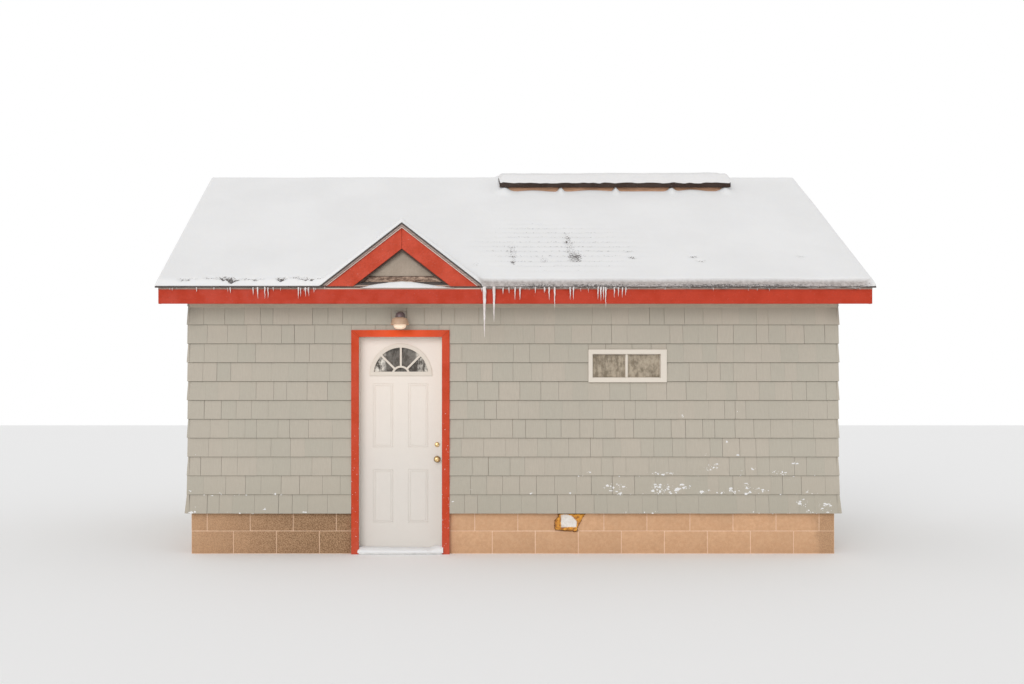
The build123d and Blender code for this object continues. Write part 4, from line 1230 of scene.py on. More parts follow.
class CABIN_OT_roof_snow(bpy.types.Operator):
    """Spreads settled snow over both slopes and the false gable, icy along the front eave"""

    bl_idname = "cabin.roof_snow"
    bl_label = "Roof Snow"

    def execute(self, context):
        settings = context.scene.cabin_snow
        exposure = context.scene.cabin_roof.exposure
        reach = roof_high.x + 0.004
        for side, step, seed in ((-1, settings.step, 5), (1, settings.step * 2.0, 9)):
            x, s = np.meshgrid(spaced(-reach, reach, step), spaced(0.0, slope_length, step))
            front = side < 0
            on_gable = smooth_step(0.7, 0.66, np.abs(x - gable_x)) * front
            icy = smooth_step(-0.36, -0.28, x) * smooth_step(reach, reach - 0.12, x) * front
            start = 0.007 + 0.007 * on_gable - 0.01 * icy
            s = start + s * (slope_length - start) / slope_length
            y = eave_y + s * ROOF_UP.y
            shape = x.shape

            # Lumpy, thinner toward the ridge and rounded off at the eave
            lumps = noise_field(shape, (5, 13), seed) * 0.5 + noise_field(shape, (12, 34), seed + 1) * 0.3
            ragged = noise_field(shape, (40, 110), seed + 2) * 0.6
            ragged = ragged + noise_field(shape, (80, 220), seed + 3) * 0.4
            depth = settings.depth * (1 + 0.16 * lumps) + 0.0012 * ragged
            depth = depth * (1 - 0.3 * smooth_step(slope_length - 0.9, slope_length, s))
            roof = main_top(y)
            surface = roof
            edge = 0.04 + 0.012 * ragged
            depth = depth * smooth_step(0.0, 1.0, (s - start) / edge) ** 0.5
            thin, ice = np.zeros_like(x), np.zeros_like(x)
            if front:
                # Thin ice along the eave
                band = icy * (1 - smooth_step(0.044, 0.064, s + 0.003 * ragged + 0.004 * lumps))
                depth = depth * (1 - band) + 0.014 * band * smooth_step(0.0, 0.02, s - start)
                ice = icy * (1 - smooth_step(0.05, 0.058, s + 0.003 * ragged + 0.004 * lumps))

                # Over the false gable, with a soft valley on both sides of it
                gable = gable_top(x)
                roof = np.maximum(roof, gable)
                surface = 0.5 * (surface + gable + np.sqrt((surface - gable) ** 2 + 0.03**2))

                # Worn spots, where the butts of the shingles show
                worn = bare(x + 0.02 * ragged, s + 0.03 * ragged, FRONT_THIN)
                butt = (s / exposure) % 1.0
                stripe = smooth_step(0.24, 0.04, butt) + smooth_step(0.86, 0.98, butt)
                naked = bare(x + 0.04 * ragged, s + 0.02 * ragged, FRONT_BARE)
                depth = depth * (1 - 0.6 * np.minimum(worn, 1.0) * (0.35 + 0.65 * stripe)) * (1 - 0.8 * naked)
                thin = np.maximum(worn * (0.22 * worn**2 + 0.34 * stripe) + 0.04 * ragged, 0.75 * naked)
                low_edge = band * smooth_step(0.03, 0.01, s + 0.01 * ragged + 0.006 * lumps)
                thin = np.maximum(thin * smooth_step(0.0, 0.2, worn + naked), (0.3 + 0.45 * lumps) * low_edge)
            depth = depth * smooth_step(-0.004, 0.03, np.minimum(x + reach, reach - x)) ** 0.5

            # Bare under the vent's lid, with tongues of snow that reach in under it
            aside = np.maximum(lid_low.x + 0.04 - x, x - lid_high.x + 0.04)
            necks = sum(0.05 * share * np.exp(-(((x - place) / wide) ** 2)) for place, wide, share in NECKS)
            shelter = smooth_step(0.0, 0.03, np.maximum(aside, -y - curb_back + necks))
            depth = depth + 0.9 * necks * smooth_step(0.16, 0.03, -y - curb_back) * front
            depth = depth * shelter - 0.012 * (1 - shelter)

            # The underside lies on the covering and hangs over the eave a little where it is icy
            y = -side * y
            lifted = smooth_step(start + 0.03, start + 0.012, s)
            hang = icy * (0.013 + 0.01 * ragged) * smooth_step(0.01, 0.0, s - start)
            under = roof - 0.0135 + 0.0139 * lifted - hang
            top = np.maximum(surface + np.maximum(depth, -0.0125), under + 0.0005)
            name = "front_roof_snow" if front else "back_roof_snow"
            snow_piece(name, x, y, top, under, thin=thin, ice=ice)
        return {"FINISHED"}


class CABIN_OT_vent(bpy.types.Operator):
    """Finishes the ridge vent and lays snow along its lid"""

    bl_idname = "cabin.vent"
    bl_label = "Ridge Vent"

    def execute(self, context):
        coating = painted_board("vent_coating", (0.032, 0.015, 0.009), (8.0, 60.0, 60.0), 0.5)
        rounded_copy("vent_lid", 0.003, 2, coating)
        boards = bare_wood("vent_boards", (0.85, 0.5, 0.32), (0.5, 0.27, 0.16), (4, 90, 90))
        rounded_copy("vent_curb", 0.002, 1, boards)
        lid_fall = (lid_high.z - lid_low.z - LID_EDGE) / lid_high.y
        inset = 0.004
        x = spaced(lid_low.x + inset, lid_high.x - inset, 0.025)
        x, y = np.meshgrid(x, spaced(lid_low.y + inset, lid_high.y - inset, 0.025))
        lumps = noise_field(x.shape, (4, 22), 30)
        drips = noise_field(x.shape, (3, 46), 31)
        edge = np.minimum.reduce([x - lid_low.x, lid_high.x - x, y - lid_low.y, lid_high.y - y])
        depth = 0.042 + 0.004 * lumps + 0.004 * (x - lid_low.x) + 0.05 * (y / lid_high.y) ** 2
        depth = depth * smooth_step(-0.002, 0.05, edge) ** 0.4
        base = lid_high.z - lid_fall * np.abs(y)
        front = smooth_step(0.012, 0.0045, y - lid_low.y)
        y = y - 0.0075 * front
        under = base - 0.003 - front * (0.003 + 0.008 * drips)
        snow_piece("lid_snow", x, y, base + depth, under, ice=np.full_like(x, 0.12))
        return {"FINISHED"}


# The crest of the snow on the false gable's ledge: x and z
LEDGE = (
    (-1.415, 2.488),
    (-1.38, 2.5),
    (-1.3, 2.516),
    (-1.18, 2.535),
    (-1.04, 2.546),
    (-0.95, 2.544),
    (-0.85, 2.526),
    (-0.7, 2.506),
    (-0.6, 2.494),
    (-0.56, 2.482),
)


class CABIN_OT_ledge_snow(bpy.types.Operator):
    """Lays snow on the false gable's ledge, behind the boards"""

    bl_idname = "cabin.ledge_snow"
    bl_label = "Ledge Snow"

    def execute(self, context):
        batten_low, batten_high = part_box("gable_batten")
        deck_edge = deck_apex + ROOF_SLOPE * fascia_low.y
        places, heights = zip(*LEDGE)
        near = -2.1885  # just behind the eave's edge
        x = np.linspace(places[0], places[-1], 110)
        x, y = np.meshgrid(x, np.linspace(near, batten_low.y + 0.004, 12))
        lumps = noise_field(x.shape, (3, 16), 51)
        across = smooth_step(0.0, 0.55, (y - near) / (batten_low.y - near)) ** 0.5
        base = deck_edge + ROOF_SLOPE * (y - fascia_low.y)
        crest = np.interp(x, places, heights) + 0.003 * lumps
        foot = LEDGE[0][1] - 0.003
        top = foot + np.maximum(crest - foot, 0.001) * across
        snow_piece("ledge_snow", x, y, top, np.minimum(base, foot) - 0.001)
        return {"FINISHED"}


# Trim


def finished_node(name, material):
    """Gives a CAD node that keeps its own shape its finish."""
    node = frame["nodes"][name]
    if not node.material_slots:
        raise RuntimeError(f"{name} has no material slot")
    for holder in node.material_slots:
        holder.material = material


def red_paint(stretch=(3.0, 70.0, 70.0)):
    name = "red_paint_%d_%d" % (stretch[0], stretch[2])
    return painted_board(name, bpy.context.scene.cabin_cladding.red, stretch, 0.32)


def sage_paint(stretch):
    name = "sage_paint_%d_%d" % (stretch[0], stretch[2])
    return painted_board(name, bpy.context.scene.cabin_cladding.paint, stretch, 0.25)


class CABIN_OT_sill_snow(bpy.types.Operator):
    """Lays the snow that has blown against the door's foot, on the threshold"""

    bl_idname = "cabin.sill_snow"
    bl_label = "Sill Snow"

    def execute(self, context):
        low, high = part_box("threshold")
        frame_low, frame_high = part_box("door_frame")
        near, far = frame_low.x + 0.04, frame_high.x - 0.04
        x, y = np.meshgrid(spaced(near, far, 0.012), np.linspace(low.y + 0.004, leaf_low.y - 0.002, 16))
        lumps = noise_field(x.shape, (3, 14), 71) * 0.6 + noise_field(x.shape, (5, 36), 72) * 0.4
        places = (near, near + 0.02, near + 0.5, far - 0.12, far - 0.06, far)
        rise = np.interp(x, places, (0.02, 0.034, 0.026, 0.024, 0.046, 0.05))
        across = smooth_step(-0.03, 0.05, y - low.y) ** 0.5
        base = np.interp(y, (low.y, low.y + 0.05), (high.z - 0.012, high.z))
        snow_piece("sill_snow", x, y, base + (rise + 0.004 * lumps) * across, base - 0.004)
        return {"FINISHED"}


class CABIN_OT_trim(bpy.types.Operator):
    """Finishes the fascias, rake boards, friezes, soffits and the roof's deck"""

    bl_idname = "cabin.trim"
    bl_label = "Eave Trim"

    def execute(self, context):
        rounded_copy("fascias", 0.003, 2, red_paint())
        rounded_copy("rake_boards", 0.003, 2, red_paint((70.0, 4.0, 50.0)))
        # The frieze's paint is paler than the walls' sage: painted light that lifts the shade under the eave.
        lit_frieze = painted_board("frieze_paint", (0.66, 0.56, 0.45), (3.0, 80.0, 80.0), 0.25)
        rounded_copy("friezes", 0.002, 1, lit_frieze)
        for name in ("rake_soffits", "eave_soffits", "eave_returns"):
            rounded_copy(name, 0.0015, 1, sage_paint((6.0, 60.0, 60.0)))
        deck = bare_wood("deck_edge", (0.62, 0.47, 0.4), (0.44, 0.33, 0.27), (5.0, 60.0, 110.0))
        for name in ("roof_deck_front", "roof_deck_back"):
            finished_node(name, deck)
        return {"FINISHED"}


BOARD_DEPTH = 0.2053  # upright depth of the red boards


def chevron(bm, apex, deep, foot, front, back):
    """Adds a strip that follows both slopes of the false gable, from its apex down to a foot."""
    reach = (apex - foot) / GABLE_SLOPE
    inner = (apex - deep - foot) / GABLE_SLOPE
    outline = [(0, apex), (reach, foot), (inner, foot), (0, apex - deep), (-inner, foot), (-reach, foot)]
    add_prism(bm, [(gable_x + x, front, z) for x, z in outline], (0, back - front, 0))


class CABIN_OT_false_gable(bpy.types.Operator):
    """Finishes the false gable: deck edge, trim strips, red boards, panel and batten, with dark strips of
    painted shade between and behind them
    """

    bl_idname = "cabin.false_gable"
    bl_label = "False Gable"

    def execute(self, context):
        weathered = bare_wood("weathered_edge", (0.46, 0.36, 0.32), (0.28, 0.205, 0.175), (8.0, 60.0, 90.0))
        finished_node("gable_deck", weathered)
        trim_low, trim_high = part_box("gable_trim")
        board_low, board_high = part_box("gable_boards")
        batten_low, batten_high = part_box("gable_batten")
        panel_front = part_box("gable_panel")[0].y
        pale = bare_wood("pale_edge", (0.72, 0.57, 0.51), (0.52, 0.4, 0.35), (8.0, 60.0, 90.0))
        for name, fall, deep, wood, replaced in (
            ("gable_strips", 0.0, 0.02, weathered, ("gable_trim",)),
            ("gable_inner_strips", 0.0235, 0.0105, pale, ()),
        ):
            strips = bmesh.new()
            chevron(strips, trim_high.z - fall, deep, trim_low.z, trim_low.y, trim_high.y)
            strips = bevelled(from_bmesh(name, strips), 0.0015, 1)
            piece(name, strips, wood, slot="weathered_board", replaced=replaced, smooth=40)
        # Dark strips of painted shade: in the groove between the trim strips, behind the inner edges of the
        # red boards, where they also stand for the dark framing, over the batten, and under the covering at
        # the deck's edge.
        shade_strips = bmesh.new()
        near, far = trim_low.y + 0.004, trim_high.y - 0.001
        chevron(shade_strips, trim_high.z - 0.0195, 0.0045, trim_low.z + 0.002, near, far)
        under = board_high.z - BOARD_DEPTH
        near, far = board_high.y + 0.0004, board_high.y + 0.014
        chevron(shade_strips, under + 0.004, 0.024, board_low.z + 0.028, near, far)
        low = (batten_low.x + 0.05, panel_front - 0.004, batten_high.z)
        high = (batten_high.x - 0.05, panel_front, batten_high.z + 0.006)
        add_box(shade_strips, low, high)
        edge_top = deck_apex + ROOF_SLOPE * fascia_low.y
        low = (gable_x - GABLE_REACH, fascia_low.y - 0.003, edge_top - 0.013)
        high = (gable_x + GABLE_REACH, fascia_low.y, edge_top)
        add_box(shade_strips, low, high)
        dark = bare_wood("dark_lining", (0.1, 0.06, 0.045), (0.045, 0.027, 0.02), (8.0, 60.0, 60.0))
        piece("gable_shade_strips", shade_strips, dark, slot="frame_wood", smooth=40)
        red = painted_board("gable_paint", (0.57, 0.06, 0.022), (8.0, 50.0, 40.0), 0.55)
        rounded_copy("gable_boards", 0.0014, 1, red)
        paint = painted_board("gable_panel_paint", (0.41, 0.335, 0.265), (90.0, 90.0, 3.0), 0.4)
        rounded_copy("gable_panel", 0.001, 1, paint)
        rough = bare_wood("rough_batten", (0.5, 0.35, 0.26), (0.1, 0.055, 0.035), (14.0, 60.0, 45.0))
        rounded_copy("gable_batten", 0.003, 2, rough)
        return {"FINISHED"}


# Door


def ring_bead(bm, low_x, high_x, low_z, high_z, y, outward, half, rise):
    """Adds a rounded bead that runs round a rectangle on the door's face."""
    turns = [math.pi * k / 8 for k in range(9)]
    profile = [(half * math.cos(turn), rise * math.sin(turn)) for turn in turns]
    profile += [(-half, -0.002), (half, -0.002)]
    corners = [(low_x, low_z, -1, -1), (high_x, low_z, 1, -1), (high_x, high_z, 1, 1), (low_x, high_z, -1, 1)]
    rings = [
        [bm.verts.new((x + across * sx, y + outward * out, z + across * sz)) for across, out in profile]
        for x, z, sx, sz in corners
    ]
    for ring, after in zip(rings, rings[1:] + rings[:1]):
        for i in range(len(profile)):
            j = (i + 1) % len(profile)
            bm.faces.new([ring[i], ring[j], after[j], after[i]])


# The door's panels: x from its middle, z from its foot, and the width of the groove round them
PANEL_X = (0.070, 0.265)
PANEL_Z = ((0.250, 0.761), (0.967, 1.579))
GROOVE = 0.026


class CABIN_OT_door(bpy.types.Operator):
    """Finishes the door: frame, casing, threshold, leaf with pressed panels, fan light and hinges"""

    bl_idname = "cabin.door"
    bl_label = "Door"

    def execute(self, context):
        settings = context.scene.cabin_door
        # The door's enamel carries painted lamp light: darker at the foot and paler up toward the lamp.
        white = enamel("door_enamel", settings.enamel, 0.32, True)
        rounded_copy("door_frame", 0.0025, 2, white)
        # The casing's paint carries a painted pool of the lamp's light: brighter orange-red close to the lamp.
        casing = painted_board("casing_paint", settings.casing, (70.0, 70.0, 3.0), 0.3, (0.86, 0.09, 0.012))
        rounded_copy("door_casing", 0.003, 2, casing)
        aluminium = metal("threshold_metal", (0.62, 0.62, 0.61), 0.34, 1.0)
        rounded_copy("threshold", 0.0025, 2, aluminium)
        rounded_copy("door_leaf", 0.002, 2, white, body="door")
        beads, inset = bmesh.new(), GROOVE / 2
        for y, outward in ((leaf_low.y + 0.004, -1), (leaf_high.y - 0.004, 1)):
            for low, high in PANEL_Z:
                for hand in (-1, 1):
                    near, far = sorted(door_x + hand * reach for reach in PANEL_X)
                    place = (near + inset, far - inset, leaf_low.z + low + inset, leaf_low.z + high - inset)
                    ring_bead(beads, *place, y, outward, half=0.0065, rise=0.0048)
        piece("panel_mouldings", beads, white, body="door", slot="door_paint", smooth=50)
        plastic = enamel("fan_plastic", settings.plastic, 0.36)
        rounded_copy("door_light_frames", 0.004, 3, plastic, body="door")
        # Near-black glass under a pale painted reflection, which is weaker at the fan's middle.
        glass = glazing("door_glass", (0.07, 0.056, 0.043), (1.0, 0.95, 0.86), 0.25, door_x)
        finished_node("door_light_glass", glass)
        steel = metal("hinge_steel", (0.56, 0.55, 0.53), 0.36, 1.0)
        rounded_copy("hinges_on_frame", 0.0006, 1, steel)
        rounded_copy("hinges_on_door", 0.0006, 1, steel, body="door")
        return {"FINISHED"}


def eased(outline, times=2):
    """An outline with its corners cut softly, keeping its two ends."""
    for _ in range(times):
        softened = [outline[0]]
        for (a, b), (c, d) in zip(outline, outline[1:]):
            softened += [(0.8 * a + 0.2 * c, 0.8 * b + 0.2 * d), (0.2 * a + 0.8 * c, 0.2 * b + 0.8 * d)]
        outline = softened + [outline[-1]]
    return outline


def lathe(bm, outline, centre, axis, segments=64):
    """Adds a turned solid: (radius, distance) pairs from one end of its axis to the other."""
    rings = []
    for radius, distance in outline:
        ring = []
        for k in range(segments if radius > 1e-6 else 1):
            turn = 2 * math.pi * k / segments
            a, b = radius * math.cos(turn), radius * math.sin(turn)
            at = (a, distance, b) if axis == "Y" else (a, b, distance)
            ring.append(bm.verts.new(Vector(centre) + Vector(at)))
        rings.append(ring)
    for low, high in zip(rings, rings[1:]):
        if len(low) == len(high) == 1:
            continue
        for k in range(segments):
            j = (k + 1) % segments
            if len(low) == 1:
                bm.faces.new([low[0], high[k], high[j]])
            elif len(high) == 1:
                bm.faces.new([low[k], high[0], low[j]])
            else:
                bm.faces.new([low[k], high[k], high[j], low[j]])


# Outlines of the lock's turned pieces: radius and distance from the leaf
KNOB = (
    (0.0, -0.004), (0.0117, -0.004), (0.0115, 0.019), (0.0145, 0.024), (0.0235, 0.030), (0.026, 0.041),
    (0.0245, 0.050), (0.017, 0.0565), (0.0075, 0.058), (0.0065, 0.0565), (0.0, 0.0565),
)
ROSE = (
    (0.0122, 0.001), (0.020, 0.001), (0.032, 0.001), (0.0318, 0.003), (0.029, 0.0065), (0.021, 0.008),
    (0.0122, 0.008), (0.0122, 0.001),
)
KEY_CUP = (
    (0.0, 0.0005), (0.024, 0.0005), (0.0238, 0.004), (0.020, 0.011), (0.0145, 0.014), (0.0125, 0.0128),
    (0.011, 0.0138), (0.0, 0.0138),
)
TURN_PLATE = ((0.0, 0.0005), (0.024, 0.0005), (0.0232, 0.005), (0.018, 0.008), (0.0, 0.008))


class CABIN_OT_lock(bpy.types.Operator):
    """Makes the brass knobs, their roses and the deadbolt"""

    bl_idname = "cabin.lock"
    bl_label = "Lock"

    def execute(self, context):
        brass = metal("lock_brass", context.scene.cabin_door.brass, 0.24, 1.0)
        tarnished = metal("rose_tarnish", (0.2, 0.13, 0.055), 0.34, 1.0)
        knob_low, knob_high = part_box("door_knobs")
        x, z = (knob_low.x + knob_high.x) / 2, (knob_low.z + knob_high.z) / 2
        knobs, roses, bolts = bmesh.new(), bmesh.new(), bmesh.new()
        for face, way in ((leaf_low.y, -1), (leaf_high.y, 1)):
            lathe(knobs, [(r, way * d) for r, d in eased(KNOB)], (x, face, z), "Y")
            lathe(roses, [(r, way * d) for r, d in ROSE], (x, face, z), "Y")
        bolt_low, bolt_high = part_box("deadbolt")
        bolt_z = (bolt_low.z + bolt_high.z) / 2
        lathe(bolts, [(r, -d) for r, d in KEY_CUP], (x, leaf_low.y, bolt_z), "Y")
        lathe(bolts, TURN_PLATE, (x, leaf_high.y, bolt_z), "Y")
        for half, near, far, tall in (  # the thumb turn inside and the keyhole outside
            (0.004, leaf_high.y + 0.007, leaf_high.y + 0.0238, 0.017),
            (0.0013, leaf_low.y - 0.0141, leaf_low.y - 0.012, 0.0045),
        ):
            add_box(bolts, (x - half, near, bolt_z - tall), (x + half, far, bolt_z + tall))
        mesh = bevelled(from_bmesh("deadbolt_brass", bolts), 0.0007, 2, 40.0)
        piece("knobs_brass", knobs, brass, "knobs", "brass", ("door_knobs",), 40)
        piece("roses_brass", roses, tarnished, "door", "brass", ("lock_roses",), 40)
        piece("deadbolt_brass", mesh, brass, "door", "brass", ("deadbolt",), 40)
        return {"FINISHED"}


# Window


class CABIN_OT_window(bpy.types.Operator):
    """Finishes the slot window: frame, glass and the beads of its two sashes"""

    bl_idname = "cabin.window"
    bl_label = "Window"

    def execute(self, context):
        plastic = enamel("window_plastic", context.scene.cabin_door.plastic, 0.34)
        rounded_copy("window_frame", 0.0025, 2, plastic)
        # Dark amber glass under a paler painted reflection.
        glass = glazing("window_glass_sheet", (0.28, 0.225, 0.155), (0.58, 0.49, 0.37), 0.3)
        finished_node("window_glass", glass)
        left, right = window_low.x + 0.039, window_high.x - 0.057
        low, high = window_low.z + 0.043, window_high.z - 0.043
        middle = (window_low.x + window_high.x) / 2 - 0.007
        bm = bmesh.new()
        front, wide = wall_low.y - 0.001, 0.004
        for a, b, step in ((left, middle - 0.0095, 0.006), (middle + 0.0095, right, 0.01)):
            for x0, x1, z0, z1 in (
                (a, b, low, low + wide),
                (a, b, high - wide, high),
                (a, a + wide, low + wide, high - wide),
                (b - wide, b, low + wide, high - wide),
            ):
                add_box(bm, (x0, front - step, z0), (x1, front, z1))
        sashes = bevelled(from_bmesh("window_sashes", bm), 0.0015, 2)
        piece("window_sashes", sashes, plastic, slot="white_trim", smooth=40)
        return {"FINISHED"}


# Lamp


class CABIN_OT_lamp(bpy.types.Operator):
    """Makes the lamp over the door: block, arm, bell shade and lit globe"""

    bl_idname = "cabin.lamp"
    bl_label = "Lamp"

    def execute(self, context):
        shade_low, shade_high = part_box("lamp_shade")
        bracket_low, bracket_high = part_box("lamp_bracket")
        globe_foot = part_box("lamp_globe")[0].z
        x, y = (shade_low.x + shade_high.x) / 2, (shade_low.y + shade_high.y) / 2
        tan = metal("lamp_coating", (0.6, 0.4, 0.27), 0.4, 0.0)
        cap = metal("lamp_cap", (0.17, 0.12, 0.125), 0.3, 0.0)
        block = bmesh.new()
        low = (bracket_low.x, wall_low.y - 0.034, bracket_low.z)
        add_box(block, low, (bracket_high.x, wall_low.y, bracket_high.z))
        block = bevelled(from_bmesh("lamp_block", block), 0.004)
        piece("lamp_block", block, sage_paint((60.0, 60.0, 4.0)), slot="shingle", smooth=40)
        arm_z = shade_high.z + 0.030
        canopy, arm = bmesh.new(), bmesh.new()
        disc = [(0.0, 0.0), (0.046, 0.0), (0.046, 0.006), (0.036, 0.014), (0.014, 0.018), (0.0, 0.018)]
        lathe(canopy, [(r, -d) for r, d in eased(disc, 1)], (x, wall_low.y - 0.0335, arm_z - 0.012), "Y")
        bend = [(wall_low.y - 0.050, arm_z - 0.012), (wall_low.y - 0.075, arm_z - 0.008)]
        bend += [(y + 0.03, arm_z + 0.004), (y, arm_z)]
        path = bpy.data.curves.new("lamp_arm", "CURVE")
        path.dimensions = "3D"
        path.bevel_depth = 0.0085
        path.bevel_resolution = 6
        path.use_fill_caps = True
        spline = path.splines.new("NURBS")
        spline.points.add(len(bend) - 1)
        for point, (py, pz) in zip(spline.points, bend):
            point.co = (x, py, pz, 1)
        spline.order_u = 3
        spline.use_endpoint_u = True
        holder = bpy.data.objects.new("lamp_arm", path)
        context.scene.collection.objects.link(holder)
        arm.from_mesh(baked(holder))
        rim, top = shade_low.z, shade_high.z
        cap_top = min(bracket_high.z, top + 0.05)
        neck = [(0.0, top - 0.002), (0.035, top - 0.002), (0.0345, top + 0.012), (0.030, top + 0.034)]
        neck += [(0.021, cap_top - 0.006), (0.010, cap_top), (0.0, cap_top)]
        lathe(arm, eased(neck, 1), (x, y, 0), "Z")
        arm.from_mesh(from_bmesh("canopy", canopy))
        piece("lamp_arm", arm, cap, slot="lamp_metal", replaced=("lamp_bracket",), smooth=40)
        bell = [(0.0, top), (0.041, top), (0.050, top - 0.003), (0.070, top - 0.012), (0.0835, rim + 0.012)]
        bell += [(0.0866, rim + 0.003), (0.0866, rim), (0.084, rim), (0.0825, rim + 0.007)]
        bell += [(0.066, rim + 0.010), (0.0, rim + 0.010)]
        shade = bmesh.new()
        lathe(shade, eased(bell, 1), (x, y, 0), "Z", 72)
        piece("lamp_bell", shade, tan, slot="lamp_metal", replaced=("lamp_shade",), smooth=45)
        glass = [(0.0, rim + 0.0105), (0.0598, rim + 0.0105), (0.0598, globe_foot + 0.030)]
        glass += [(0.051, globe_foot + 0.012), (0.030, globe_foot), (0.0, globe_foot)]
        globe = bmesh.new()
        lathe(globe, eased(glass, 2), (x, y, 0), "Z", 72)
        piece("lamp_globe_lit", globe, lit_globe(), "cabin", "lamp_globe", ("lamp_globe",), 50)
        return {"FINISHED"}


@once
def lit_globe():
    """Frosted glass, lit from inside."""
    material, nodes, sockets = finish("lit_globe", Roughness=0.35, Emission_Strength=0.34)
    cloud = nodes.noise(nodes.where(), 30.0, 2.0, 0.5)
    nodes.feed(sockets["Base Color"], nodes.mix(cloud, (0.78, 0.62, 0.47), (0.9, 0.78, 0.64)))
    nodes.feed(sockets["Emission Color"], nodes.mix(cloud, (0.9, 0.6, 0.4), (1.0, 0.8, 0.6)))
    bump(nodes, sockets, cloud, 0.001, 0.4)
    return material


# Ice and clinging snow


def scattered_points(name, places, sizes):
    """A mesh of points, each with its size as an attribute."""
    mesh = bpy.data.meshes.new(name)
    mesh.from_pydata(places, [], [])
    layer = mesh.attributes.new("size", "FLOAT_VECTOR", "POINT")
    layer.data.foreach_set("vector", np.array(sizes, dtype=np.float32).ravel())
    return mesh


# Icicles at the front eave: x, length and thickness
ICICLES = (
    (-2.913, 0.05, 0.006),
    (-2.753, 0.03, 0.006),
    (-2.603, 0.06, 0.007),
    (-2.394, 0.08, 0.007),
    (-2.354, 0.11, 0.008),
    (-2.288, 0.11, 0.008),
    (-2.259, 0.11, 0.007),
    (-2.211, 0.04, 0.006),
    (-1.983, 0.11, 0.008),
    (-1.962, 0.09, 0.007),
    (-1.916, 0.09, 0.007),
    (-1.887, 0.09, 0.007),
    (-1.84, 0.055, 0.006),
    (-0.283, 0.46, 0.0185),
    (-0.196, 0.32, 0.0155),
    (-0.112, 0.07, 0.008),
    (-0.06, 0.06, 0.007),
    (-0.004, 0.12, 0.008),
    (0.041, 0.12, 0.009),
    (0.181, 0.06, 0.007),
    (0.263, 0.06, 0.007),
    (0.308, 0.12, 0.009),
    (0.358, 0.21, 0.009),
    (0.5, 0.12, 0.008),
    (0.53, 0.12, 0.008),
    (0.754, 0.12, 0.008),
    (0.78, 0.13, 0.009),
    (0.803, 0.12, 0.008),
    (0.824, 0.2, 0.008),
    (0.902, 0.1, 0.007),
    (0.94, 0.09, 0.007),
    (0.975, 0.1, 0.007),
    (1.006, 0.08, 0.007),
)

STRAY_ICICLES = 46
STRAY_THICKNESS = (0.003, 0.006)
STRAY_LENGTH = (0.015, 0.055)


class CABIN_OT_icicles(bpy.types.Operator):
    """Hangs icicles from the front eave"""

    bl_idname = "cabin.icicles"
    bl_label = "Icicles"

    def execute(self, context):
        random = np.random.default_rng(17)
        start = roof_low.z + 0.010
        places = [(x, eave_y + 0.002, start) for x, _, _ in ICICLES]
        sizes = [(thick, thick * 0.9, drop) for _, drop, thick in ICICLES]
        for _ in range(STRAY_ICICLES):
            x = random.uniform(-3.2, 3.2)
            if abs(x - gable_x) < 0.66:
                continue
            places.append((x, eave_y + 0.004, start))
            thick = random.uniform(*STRAY_THICKNESS)
            sizes.append((thick, thick, random.uniform(*STRAY_LENGTH)))
        mesh = grown(
            "icicles",
            scattered_points("icicles", places, sizes),
            hanging_ice_tree(),
            Ripple=0.010,
            Ripple_Scale=24.0,
            Tip=0.07,
            Material=clear_ice(),
        )
        piece("icicles", mesh, None, smooth=60)
        return {"FINISHED"}


